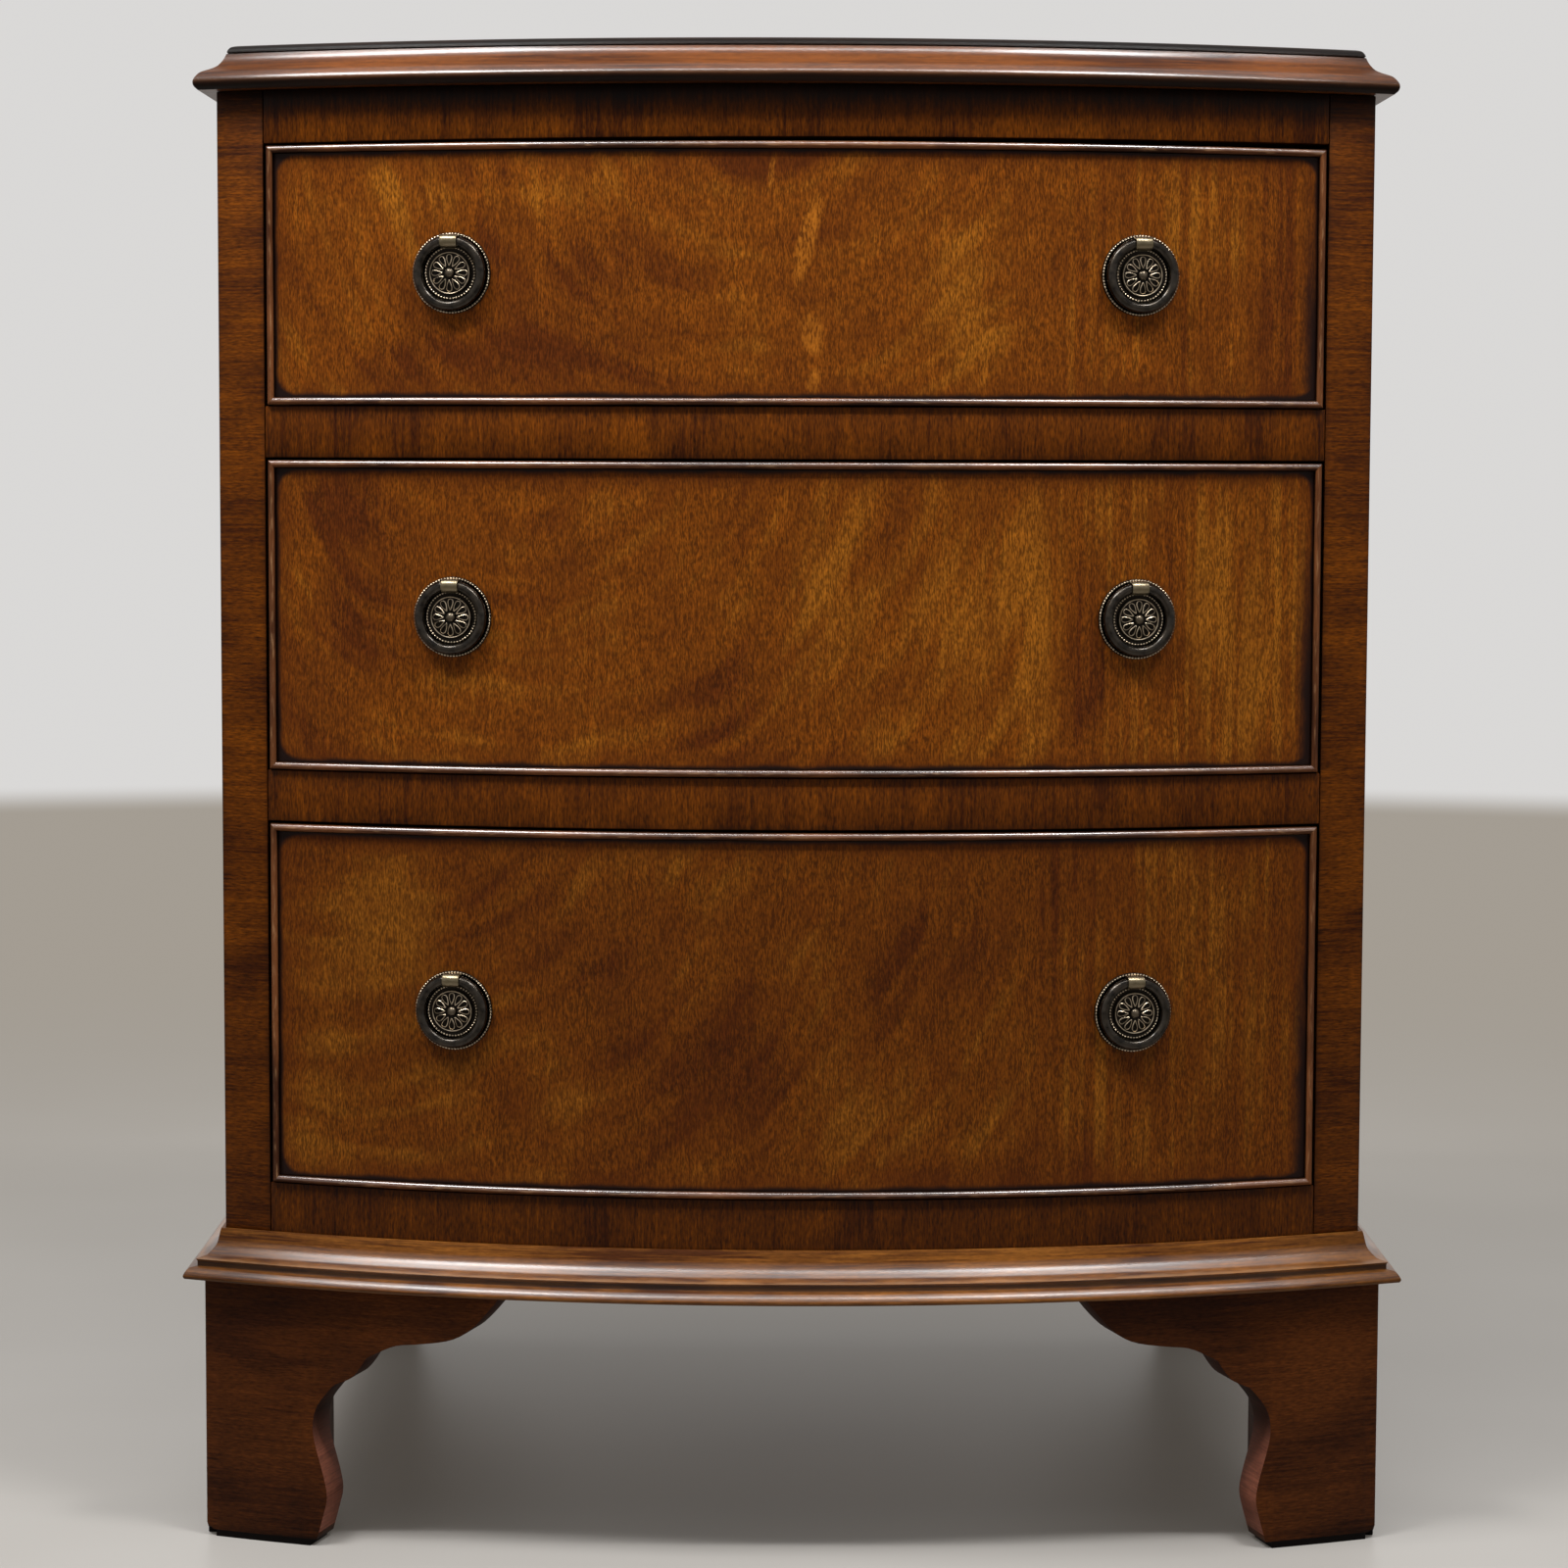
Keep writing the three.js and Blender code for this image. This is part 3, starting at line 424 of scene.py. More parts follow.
def curved(points, steps):
    """More points on one smooth line through the given ones."""
    ends = [points[0], *points, points[-1]]
    line = []
    for knots in zip(ends, ends[1:], ends[2:], ends[3:]):
        for step in range(steps):
            t = step / steps
            weights = (
                (-t + 2 * t**2 - t**3) / 2,
                (2 - 5 * t**2 + 3 * t**3) / 2,
                (t + 4 * t**2 - 3 * t**3) / 2,
                (-(t**2) + t**3) / 2,
            )
            line.append(tuple(sum(w * knot[i] for w, knot in zip(weights, knots)) for i in (0, 1)))
    return [*line, tuple(points[-1])]


def bow_y(x, out=0.0):
    """Y of a line parallel to the bowed front, a distance out from it."""
    return BOW_CENTRE_Y - sqrt((BOW_RADIUS + out) ** 2 - x**2)


def bow_line(from_x, to_x, out, z, steps):
    """Points along the bow, a distance out from it."""
    xs = [from_x + (to_x - from_x) * i / steps for i in range(steps + 1)]
    return [Vector((x, bow_y(x, out), z)) for x in xs]


def bow_band(from_x, to_x, near, far, z, steps):
    """An outline between two lines along the bow."""
    return [*bow_line(from_x, to_x, near, z, steps), *bow_line(to_x, from_x, far, z, steps)]


def on_bow(angle, out, z):
    """A point at an angle along the bow, to the right, and a distance out from it."""
    reach = BOW_RADIUS + out
    return Vector((reach * sin(angle), BOW_CENTRE_Y - reach * cos(angle), z))


def mitre_direction(reach):
    """Along the mitre of a moulding at the right-hand corner, seen from above."""
    corner = Vector((HALF_WIDTH, bow_y(HALF_WIDTH), 0))
    tip = Vector((HALF_WIDTH + reach, bow_y(HALF_WIDTH + reach, reach), 0))
    return corner, (tip - corner).normalized()


# The points of the moulded edges, as shares: in or out over the edge's width, and up over its height.
# Each edge is a list of runs; a run is smooth, and two runs meet at an arris.
TOP_EDGE_SHARES = [
    [(0.119, 0), (0.027, 0.077), (0, 0.172), (0.043, 0.268), (0.151, 0.373), (0.27, 0.426), (0.432, 0.483)]
    + [(0.573, 0.555), (0.681, 0.665), (0.735, 0.746), (0.768, 0.813)],
    [(0.815, 0.83), (0.778, 0.852)],
    [(0.778, 0.852), (0.805, 0.904), (0.876, 0.967), (1, 1)],
]
BASE_EDGE_SHARES = [
    [(0.97, 0), (1, 0.06), (0.94, 0.155), (0.85, 0.225)],
    [(0.66, 0.25), (0.66, 0.36)],
    [(0.7, 0.4), (0.465, 0.45), (0.36, 0.515), (0.22, 0.65), (0.155, 0.83), (0.13, 0.925), (0.1, 1)],
]
# Inner edge of a bracket foot: shares of its length along the face and of its height.
FOOT_EDGE_SHARES = [
    [(0.385, 0), (0.41, 0.105), (0.421, 0.172), (0.41, 0.25), (0.378, 0.39), (0.374, 0.465), (0.39, 0.53)]
    + [(0.43, 0.593), (0.45, 0.617)],
    [(0.45, 0.617), (0.5, 0.643), (0.53, 0.678), (0.558, 0.728)],
    [(0.558, 0.728), (0.6, 0.755), (0.66, 0.785), (0.735, 0.796), (0.83, 0.814), (0.89, 0.845), (0.94, 0.897)]
    + [(1, 0.98)],
]


def edge_points(runs, steps=4):
    """All the points of a moulded edge, each run smooth."""
    points = []
    for run in runs:
        line = curved(run, steps) if len(run) > 2 else run
        points += line if not points or points[-1] != line[0] else line[1:]
    return points


# Where each moulding is worn, where it is painted darker as shade in its quirks, under its nose and along its
# upper edge, and where it is polished: height over its lower edge and how far that reaches, in millimetres,
# and how strongly it shows.
TOP_MARKS = {
    "worn": ((4.2, 1.2, 0.1),),
    "painted_shade": ((18.2, 2.0, 0.9), (0.5, 6.0, 0.9), (20.8, 4.0, 0.92)),
    "polished": ((6.0, 2.3, 1.0), (15.6, 2.7, 0.8), (10.0, 6.0, 0.08)),
}
BASE_MARKS = {
    "worn": ((0.6, 0.8, 0.15), (8.8, 0.8, 0.3)),
    "painted_shade": ((6.6, 1.6, 0.6), (-0.6, 3.0, 0.35), (24.0, 2.0, 0.5)),
    "polished": ((4.0, 2.6, 1.0), (COVE_HEIGHT, 5.0, 1.0), (7.0, 3.0, 0.3)),
}


# Boards of the carcass

class CHEST_OT_top(Operator):
    """The moulded top board"""

    bl_idname = "chest.top"
    bl_label = "Top board"

    def execute(self, context):
        sizes = context.scene.chest_sizes
        colours = context.scene.chest_colours
        low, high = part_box("top_board")
        overhang = high.x - HALF_WIDTH
        rings = []
        for in_share, up_share in edge_points(TOP_EDGE_SHARES):
            out = overhang - in_share * sizes.top_edge_width
            z = low.z + up_share * (high.z - low.z)
            half = HALF_WIDTH + out
            back = [Vector((half, BACK_Y, z)), Vector((-half, BACK_Y, z))]
            rings.append([*bow_line(-half, half, out, z, BOW_STEPS), *back])
        top = self.stack(rings)
        shades = (colours.moulding_dark, colours.moulding_light)
        dress(top, moulding_wood("top_moulding", "moulding", shades, low.z, TOP_MARKS))
        dress(top, Wood("top_veneer", "top", shades).finish(), lambda face: abs(face.normal.z) > 0.98)
        fit(top, "carcass", "moulding", "top_board")
        return {"FINISHED"}

    def stack(self, rings):
        """One outline for each point of the edge, each extruded from the last and brought to its own size."""
        piece = draw("moulded_top", rings[0])
        edit(piece, "FACE")
        for below, above in zip(rings, rings[1:]):
            step = UP * (above[0].z - below[0].z)
            bpy.ops.mesh.extrude_region_move(TRANSFORM_OT_translate={"value": step})
            shape = bmesh.from_edit_mesh(piece.data)
            for vertex in shape.verts:
                if vertex.select:
                    nearest = min(range(len(below)), key=lambda i: (vertex.co.xy - below[i].xy).length)
                    vertex.co.xy = above[nearest].xy
            bmesh.update_edit_mesh(piece.data)
        face_outwards(piece)
        return piece


class CHEST_OT_sides(Operator):
    """The side panels and the crossbanded stiles on their front edges"""

    bl_idname = "chest.sides"
    bl_label = "Sides and stiles"

    def execute(self, context):
        sizes = context.scene.chest_sizes
        colours = context.scene.chest_colours
        back_low, back_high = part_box("back_panel")
        rebate_x = back_high.x + JOINT_GAP
        rebate_y = back_low.y - JOINT_GAP
        bottom = SIDE_LOW.z
        corners = ((HALF_WIDTH, BACK_Y), (rebate_x, BACK_Y), (rebate_x, rebate_y), (HALF_OPENING, rebate_y))
        plan = bow_line(HALF_OPENING, HALF_WIDTH, -sizes.stile_facing, bottom, STILE_STEPS)
        plan += [Vector((x, y, bottom)) for x, y in corners]
        panel = draw("side_panel_right", plan)
        plan = bow_band(HALF_OPENING, HALF_WIDTH, 0, -sizes.stile_facing, bottom, STILE_STEPS)
        stile = draw("stile_right", plan)
        for piece in (panel, stile):
            extrude(piece, UP * (SIDE_HIGH.z - bottom))
        round_edges(stile, sizes.edge_rounding)
        dress(panel, Wood("side_veneer", "side", (colours.stile_dark, colours.stile_light)).finish())
        dress(stile, stile_wood(colours))
        fit_pair(panel, "stile", "side")
        fit_pair(stile, "stile")
        return {"FINISHED"}


class CHEST_OT_rails(Operator):
    """The four crossbanded rails between the stiles"""

    bl_idname = "chest.rails"
    bl_label = "Front rails"

    def execute(self, context):
        sizes = context.scene.chest_sizes
        colours = context.scene.chest_colours
        for count, node in enumerate(RAIL_TONE_AND_SHADE):
            low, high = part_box(node)
            plan = bow_line(low.x, high.x, 0, low.z, BOW_STEPS)
            plan += [Vector((high.x, high.y, low.z)), Vector((low.x, high.y, low.z))]
            rail = draw("crossbanded_" + node, plan)
            extrude(rail, UP * (high.z - low.z))
            if node == "top_front_rail":
                slope = Vector((sizes.top_gap_rise, 0, low.x - high.x)).normalized()
                cut_off(rail, (low.x, 0, low.z), slope)
            round_edges(rail, sizes.edge_rounding)
            dress(rail, rail_wood(node, 2.0 + count, low, high, colours))
            fit(rail, "carcass", "rail", node)
        return {"FINISHED"}


class CHEST_OT_base(Operator):
    """The base moulding, mitred at its corners"""

    bl_idname = "chest.base"
    bl_label = "Base moulding"

    def execute(self, context):
        colours = context.scene.chest_colours
        projection = BASE_HIGH.x - HALF_WIDTH
        height = BASE_HIGH.z - BASE_LOW.z
        shares = edge_points(BASE_EDGE_SHARES)
        section = [(out_share * projection, BASE_LOW.z + up_share * height) for out_share, up_share in shares]
        section += [(JOINT_GAP, BASE_HIGH.z), (JOINT_GAP, BASE_LOW.z)]
        corner, direction = mitre_direction(projection)
        past_corner = asin((HALF_WIDTH + 2 * projection) / BOW_RADIUS)
        front = draw("base_moulding_across", [on_bow(past_corner, out, z) for out, z in section])
        sweep_along_bow(front)
        half_gap = JOINT_GAP / 4
        for side in SIDES.values():
            across = Vector((-direction.y * side, direction.x, 0))
            cut_off(front, Vector((corner.x * side, corner.y, 0)) - across * half_gap, across)
        ends = [Vector((HALF_WIDTH + out, BACK_Y, z)) for out, z in section]
        right = draw("base_moulding_along_right", ends)
        extrude(right, BACKWARDS * (corner.y - 2 * projection - BACK_Y))
        across = Vector((direction.y, -direction.x, 0))
        cut_off(right, corner + across * -half_gap, across)
        shades = (colours.base_dark, colours.base_light)
        wood = moulding_wood("base_moulding", "base", shades, BASE_LOW.z, BASE_MARKS)
        dress(front, wood)
        dress(right, wood)
        fit_pair(right, "moulding", "base_moulding")
        fit(front, "carcass", "moulding", "base_moulding_front")
        return {"FINISHED"}


class CHEST_OT_feet(Operator):
    """The bracket feet"""

    bl_idname = "chest.feet"
    bl_label = "Bracket feet"

    def execute(self, context):
        sizes = context.scene.chest_sizes
        colours = context.scene.chest_colours
        low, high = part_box("front_foot_bracket_right")
        side_low, side_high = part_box("front_foot_side_bracket_right")
        outer = side_high.x
        thickness = side_high.x - side_low.x
        projection = outer - HALF_WIDTH
        span = outer - low.x
        corner = Vector((outer, bow_y(outer, projection), 0))

        def along_side(s, z):
            return Vector((outer, corner.y + s, z))

        def from_back(s, z):
            return Vector((outer, BACK_Y - s, z))

        front = self.front_bracket(span, high.z, outer, thickness, sizes)
        side = self.bracket("front_side_foot_right", span, high.z, sizes, along_side)
        rear = self.bracket("rear_side_foot_right", span, high.z, sizes, from_back)
        extrude(side, ALONG * -thickness)
        extrude(rear, ALONG * -thickness)
        inner_x = outer - thickness
        inner_corner = Vector((inner_x, bow_y(inner_x, projection - thickness), 0))
        mitre = (inner_corner - corner).normalized()
        cut_off(side, inner_corner + BACKWARDS * JOINT_GAP, Vector((-mitre.y, mitre.x, 0)))
        face_wood = foot_wood((colours.foot_dark, colours.foot_light), sizes.foot_pad / MM)
        edge_wood = sawn_wood((colours.foot_edge_dark, colours.foot_edge))
        rows = (
            (front, BACKWARDS, "front_foot_bracket"),
            (side, ALONG, "front_foot_side_bracket"),
            (rear, ALONG, "rear_foot_side_bracket"),
        )
        for piece, facing, node in rows:
            round_edges(piece, sizes.edge_rounding)
            dress(piece, face_wood)
            dress(piece, edge_wood, lambda face: self.sawn(face, facing, sizes))
            fit_pair(piece, "foot", node)
        return {"FINISHED"}

    def sawn(self, face, facing, sizes):
        """True for the sawn edges, which aren't the bracket's faces, its top or its pad."""
        level = face.calc_center_median().z
        edge = abs(face.normal.dot(facing)) < 0.5 and face.normal.z < 0.9
        return edge and level > sizes.foot_pad + 1.2 * sizes.foot_bevel

    def front_bracket(self, span, top, outer, thickness, sizes):
        """A bracket sawn square to the bow from a board bowed on both its faces."""
        projection = outer - HALF_WIDTH
        turn = asin((outer - span / 2) / BOW_RADIUS)
        saw = Vector((-sin(turn), cos(turn), 0)) * thickness

        def on_face(s, z):
            return Vector((outer - s, bow_y(outer - s, projection), z)) - 2 * saw

        front = self.bracket("front_foot_right", span, top, sizes, on_face)
        extrude(front, 5 * saw)
        inner_x = outer - thickness
        end_x = outer - span - thickness
        plan = bow_line(end_x, outer, projection, -thickness, FOOT_STEPS)
        plan += bow_line(inner_x, end_x, projection - thickness, -thickness, FOOT_STEPS)
        board = draw("board", plan)
        extrude(board, UP * (top + 2 * thickness))
        combine(front, board, "INTERSECT")
        return front

    def bracket(self, name, span, top, sizes, place):
        """The outline of a bracket in its own face, from its outer side inwards."""
        bevel = sizes.foot_bevel
        pad = sizes.foot_pad
        inset = 1.5 * bevel
        inner = FOOT_EDGE_SHARES[0][0][0] * span
        points = [(0, bevel + pad), (bevel, pad), (inset, pad), (inset, 0)]
        points += [(inner - bevel, 0), (inner - bevel, pad)]
        points += [(along * span, pad + up * (top - pad)) for along, up in edge_points(FOOT_EDGE_SHARES, 3)]
        points += [(span, top), (0, top)]
        return draw(name, [place(s, z) for s, z in points])


# Drawers

class CHEST_OT_drawer_fronts(Operator):
    """The veneered drawer fronts"""

    bl_idname = "chest.drawer_fronts"
    bl_label = "Drawer fronts"

    def execute(self, context):
        sizes = context.scene.chest_sizes
        colours = context.scene.chest_colours
        for count, drawer in enumerate(DRAWERS):
            low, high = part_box(drawer + "_front")
            slab_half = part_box(drawer + "_side_right")[0].x - JOINT_GAP
            back_out = self.back_out(high, slab_half)
            front = draw(drawer + "_veneered_front", self.plan(low.z, high.x, slab_half, back_out, sizes))
            extrude(front, UP * (high.z - low.z))
            combine(front, self.groove(drawer, high.x, back_out, sizes), "DIFFERENCE")
            for side in SIDES:
                hole = disc(24, sizes.stud_hole / 2, -3 * sizes.bead_depth, 3 * sizes.bead_depth)
                move(hole, pull_place(drawer, side))
                combine(front, hole, "DIFFERENCE")
            dress(front, bare_wood("X", colours))
            veneer = veneer_wood(drawer, 3.0 + 5.0 * count, low, high, colours)
            dress(front, veneer, lambda face: face.normal.y < -0.8)
            fit(front, drawer, "drawer_veneer", drawer + "_front")
        return {"FINISHED"}

    def plan(self, z, half, slab_half, back_out, sizes):
        """The front seen from above: full width to the seat of the cockbead, and narrower behind it."""
        seat = -sizes.bead_depth
        right = [Vector((x, bow_y(x, seat), z)) for x in (half, slab_half)]
        left = [Vector((x, bow_y(x, seat), z)) for x in (-slab_half, -half)]
        face = bow_line(-half, half, 0, z, FINE_BOW_STEPS)
        return [*face, *right, *bow_line(slab_half, -slab_half, back_out, z, BOW_STEPS), *left]

    def back_out(self, high, slab_half):
        """How far the back of the front lies behind its face: its rearmost point is the slab's end."""
        return sqrt((BOW_CENTRE_Y - high.y) ** 2 + slab_half**2) - BOW_RADIUS

    def groove(self, drawer, half, back_out, sizes):
        """The groove in the back of the front that holds the drawer bottom."""
        low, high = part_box(drawer + "_bottom")
        depth = sizes.groove_depth
        plan = bow_band(-half, half, back_out + depth, back_out - depth, low.z - JOINT_GAP, BOW_STEPS)
        groove = draw("groove", plan)
        extrude(groove, UP * (high.z - low.z + 2 * JOINT_GAP))
        return groove


class CHEST_OT_cockbeads(Operator):
    """The cockbeads: four mitred strips round each drawer front"""

    bl_idname = "chest.cockbeads"
    bl_label = "Cockbeads"

    def execute(self, context):
        sizes = context.scene.chest_sizes
        colours = context.scene.chest_colours
        shades = (colours.bead_dark, colours.bead_light)
        upright_wood = bead_wood("cockbead_upright", "bead_upright", shades)
        for drawer in DRAWERS:
            low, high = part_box(drawer + "_cockbead")
            lit = (low.z + 0.75 * sizes.bead_thickness, high.z - 0.25 * sizes.bead_thickness)
            level_wood = bead_wood(drawer + "_cockbead_level", "bead", shades, lit)
            strips = [
                self.level_strip(sizes, high.x, low.z, 1),
                self.level_strip(sizes, high.x, high.z, -1),
                self.upright_strip(sizes, high.x, low.z, high.z),
            ]
            strips.append(mirrored(strips[-1], "left_strip"))
            for strip, wood in zip(strips, (level_wood, level_wood, upright_wood, upright_wood)):
                dress(strip, wood)
            beads = join(drawer + "_cockbead_strips", strips)
            fit(beads, drawer, "cockbead", drawer + "_cockbead")
        return {"FINISHED"}

    def nose(self, sizes):
        """The rounded nose: across the strip from its outer side, and out from the drawer's face."""
        shoulder = 0.4 * sizes.bead_proud
        rise = sizes.bead_proud - shoulder
        half = sizes.bead_thickness / 2
        turns = [pi * i / 10 for i in range(11)]
        line = [(half - half * cos(turn), shoulder + rise * sin(turn)) for turn in turns]
        return [(0, -sizes.bead_depth), *line, (sizes.bead_thickness, -sizes.bead_depth)]

    def level_strip(self, sizes, end_x, edge_z, direction):
        """A strip along the lower edge (direction 1) or the upper edge (-1), mitred at both ends."""
        past_end = asin((end_x + sizes.bead_thickness) / BOW_RADIUS)
        section = [on_bow(past_end, out, edge_z + direction * across) for across, out in self.nose(sizes)]
        strip = draw("level_strip", section)
        sweep_along_bow(strip)
        for side in SIDES.values():
            cut_off(strip, (side * end_x, 0, edge_z), Vector((side, 0, direction)).normalized())
        return strip

    def upright_strip(self, sizes, end_x, bottom, top):
        """The strip along the right-hand edge."""
        nose = [(end_x - across, out) for across, out in self.nose(sizes)]
        strip = draw("right_strip", [Vector((x, bow_y(x, out), bottom)) for x, out in nose])
        extrude(strip, UP * (top - bottom))
        for z, direction in ((bottom, -1), (top, 1)):
            cut_off(strip, (end_x, 0, z), Vector((-1, 0, direction)).normalized())
        return strip


class CHEST_OT_drawer_boxes(Operator):
    """The finish of the drawer sides, backs and bottoms"""

    bl_idname = "chest.drawer_boxes"
    bl_label = "Drawer boxes"

    def execute(self, context):
        grains = {"side_left": "Y", "side_right": "Y", "back": "X", "bottom": "X"}
        for drawer in DRAWERS:
            for part, grain in grains.items():
                dress_node(drawer + "_" + part, bare_wood(grain, context.scene.chest_colours))
        return {"FINISHED"}


class CHEST_OT_inside(Operator):
    """The finish of the back, the runners, the boards inside and the glue blocks"""

    bl_idname = "chest.inside"
    bl_label = "Back and inside"

    def execute(self, context):
        colours = context.scene.chest_colours
        grains = {"top_back_rail": "X", "top_kicker": "Y", "bottom_board": "X", "back_panel": "Z"}
        grains.update({drawer + "_runner_" + side: "Y" for drawer in DRAWERS[1:] for side in SIDES})
        for name, grain in grains.items():
            dress_node(name, bare_wood(grain, colours))
        stained = Wood("stained_block", "foot_edge", (colours.foot_dark, colours.foot_light)).finish()
        for side in SIDES:
            for part in ("front_foot_block_", "rear_foot_block_", "rear_foot_bracket_"):
                dress_node(part + side, stained)
        return {"FINISHED"}


# Ring pulls, made round the origin with their faces towards -Y

def pull_place(drawer, side):
    """Where a pull sits: the middle of its plate on the drawer's face, turned square to the bow."""
    name = drawer.replace("_drawer", "_ring_") + side + "_pivot"
    pivot = next(Vector(joint["pos_m"]) for joint in frame["joints"] if joint["name"] == name)
    turn = atan2(pivot.x, BOW_CENTRE_Y - pivot.y)
    middle = on_bow(turn, 0, pivot.z - bpy.context.scene.pull_sizes.pivot_height)
    return Matrix.Translation(middle) @ Matrix.Rotation(turn, 4, "Z")


def turn_round(steps, angle, copies=False):
    """In edit mode, spins what is selected round the pull's axis, as one surface or as copies."""
    bpy.ops.mesh.spin(steps=steps, angle=angle, dupli=copies, center=(0, 0, 0), axis=BACKWARDS)


class CHEST_OT_ring_pulls(Operator):
    """The ring pulls with their rosettes, knuckles, studs and nuts"""

    bl_idname = "chest.ring_pulls"
    bl_label = "Ring pulls"

    def execute(self, context):
        sizes = context.scene.pull_sizes
        colours = context.scene.chest_colours
        plate = self.plate(sizes), plate_brass(sizes, colours)
        ring = self.ring(sizes), ring_brass(colours)
        nut = self.nut(sizes), steel_metal(colours)
        for drawer in DRAWERS:
            for side in SIDES:
                place = pull_place(drawer, side)
                made = self.put(*plate, drawer + "_rosette_plate_" + side, place)
                fit(made, drawer, "brass", drawer + "_handle_plate_" + side)
                made = self.put(*ring, drawer + "_pull_ring_" + side, place)
                ring_body = drawer.replace("_drawer", "_ring_") + side
                fit(made, ring_body, "brass", drawer + "_handle_ring_" + side)
                made = self.put(*nut, drawer + "_nut_" + side, place)
                fit(made, drawer, "brass")
        for pattern in (plate[0], ring[0], nut[0]):
            bpy.data.objects.remove(pattern, do_unlink=True)
        return {"FINISHED"}

    def put(self, pattern, metal, name, place):
        """A copy of a pattern in its place, which keeps the pattern's own coordinates as an attribute."""
        made = copy_of(pattern, name)
        own_place = made.data.attributes.new("own_place", "FLOAT_VECTOR", "POINT")
        own_place.data.foreach_set("vector", [c for vertex in made.data.vertices for c in vertex.co])
        dress(made, metal)
        move(made, place)
        return made

    def spread(self, piece, count):
        """Copies of a small shape all round the pull's axis."""
        edit(piece)
        turn_round(count - 1, 2 * pi * (count - 1) / count, copies=True)
        close_edit()
        return piece

    def bead_ring(self, radius, bead, height, count):
        place = (radius, -height, 0)
        ball = primitive("uv_sphere", segments=8, ring_count=5, radius=bead / 2, location=place)
        return self.spread(ball, count)

    def petals(self, inner, outer, inner_height, outer_height):
        """Hollow petals: one drawn on the rosette's slope, raised, and sunk inside its rim."""
        outline = []
        for i in range(20):
            turn = 2 * pi * i / 20
            along = (1 - cos(turn)) / 2
            width = 1.6 * MM * sin(turn) * (0.35 + 0.85 * along)
            height = inner_height + (outer_height - inner_height) * along
            outline.append(Vector((width, -height, inner + (outer - inner) * along)))
        petal = draw("petals", outline)
        extrude(petal, Vector((0, -0.5 * MM, 0)))
        edit(petal, "FACE")
        select(petal, "FACE", lambda face: face.normal.y < -0.9)
        for width, rise in ((0.18, 0.14), (0.12, 0), (0.16, -0.5)):
            bpy.ops.mesh.inset(thickness=width * MM, depth=rise * MM)
        close_edit()
        return self.spread(petal, PETALS)

    def plate(self, sizes):
        """The backplate with its stud, turned on a lathe, and its beads, petals and knuckle."""
        radius = sizes.plate / 2
        rosette = sizes.rosette / 2
        dome = sizes.dome / 2
        stud = sizes.stud / 2
        back = JOINT_GAP
        face = back + sizes.plate_thickness
        channel = face - sizes.channel_dip
        boss = face + sizes.boss_height
        rim = face + sizes.rosette_height
        hub = rim + 0.2 * MM
        outer_beads = radius - 0.65 * MM
        inner_beads = 0.63 * radius
        # From the stud's end to the knob: a radius, a height, and how far past each in millimetres
        steps = (
            (0, -sizes.stud_length, 0, 0),
            (stud, -sizes.stud_length, 0, 0),
            (stud, back, 0, 0),
            (radius, back, 0, 0),
            (radius, face, 0, -0.35),
            (radius, face, -0.25, 0),
            (outer_beads, face, -0.8, 0),
            (outer_beads, channel, -1.5, 0),
            (0.755 * radius, channel, 0, 0),
            (0.745 * radius, face, 0, 0.15),
            (0.73 * radius, face, 0, 0.15),
            (0.72 * radius, channel, 0, 0),
            (inner_beads, channel, 0.7, 0),
            (inner_beads, boss, 0.45, -0.3),
            (inner_beads, boss, 0.3, 0),
            (inner_beads, boss, -0.7, 0),
            (rosette, boss, 0.4, -0.2),
            (rosette, rim, 0.2, -0.1),
            (rosette, rim, 0, 0.1),
            (rosette, rim, -0.25, 0),
            (rosette, rim, -0.45, -0.6),
            (dome, hub, 0.8, -0.1),
            (dome, hub, 0.1, -0.25),
        )
        profile = [(near + out * MM, height + up * MM) for near, height, out, up in steps]
        rise = face + sizes.dome_height - hub
        profile += [(dome * cos(turn), hub + rise * sin(turn)) for turn in (0, 0.4, 0.8, 1.2)]
        profile += [(0, hub + rise)]
        turned = draw("rosette_plate", [Vector((near, -height, 0)) for near, height in profile], filled=False)
        edit(turned)
        turn_round(LATHE_STEPS, 2 * pi)
        face_outwards(turned)
        return join("rosette_plate", [
            turned,
            self.bead_ring(outer_beads, sizes.outer_bead, face + 0.05 * MM, OUTER_BEADS),
            self.bead_ring(inner_beads, sizes.inner_bead, boss + 0.05 * MM, INNER_BEADS),
            self.petals(dome + 0.9 * MM, rosette - 0.7 * MM, hub - 0.2 * MM, rim - 0.65 * MM),
            self.knuckle(sizes),
        ])

    def knuckle(self, sizes):
        """The strap: a round front on a neck, bored for the pivot."""
        half = sizes.knuckle / 2
        back = JOINT_GAP + sizes.plate_thickness / 2
        x = -sizes.knuckle_width / 2
        middle = sizes.pivot_height
        turns = [pi * i / 12 for i in range(13)]
        outline = [(-sizes.standoff - half * sin(turn), middle + half * cos(turn)) for turn in turns]
        outline += [(-back, middle - half), (-back, middle + half)]
        strap = draw("knuckle", [Vector((x, y, z)) for y, z in outline])
        extrude(strap, ALONG * sizes.knuckle_width)
        round_edges(strap, 0.5 * MM, angle=50, segments=3)
        bore = self.rod(sizes.pivot / 2 + sizes.pivot_clearance, 2 * sizes.knuckle_width, sizes)
        combine(strap, bore, "DIFFERENCE")
        return strap

    def rod(self, radius, reach, sizes):
        """A bar through the knuckle."""
        place = (0, -sizes.standoff, sizes.pivot_height)
        return primitive(
            "cylinder", vertices=20, radius=radius, depth=reach, location=place, rotation=(0, pi / 2, 0)
        )

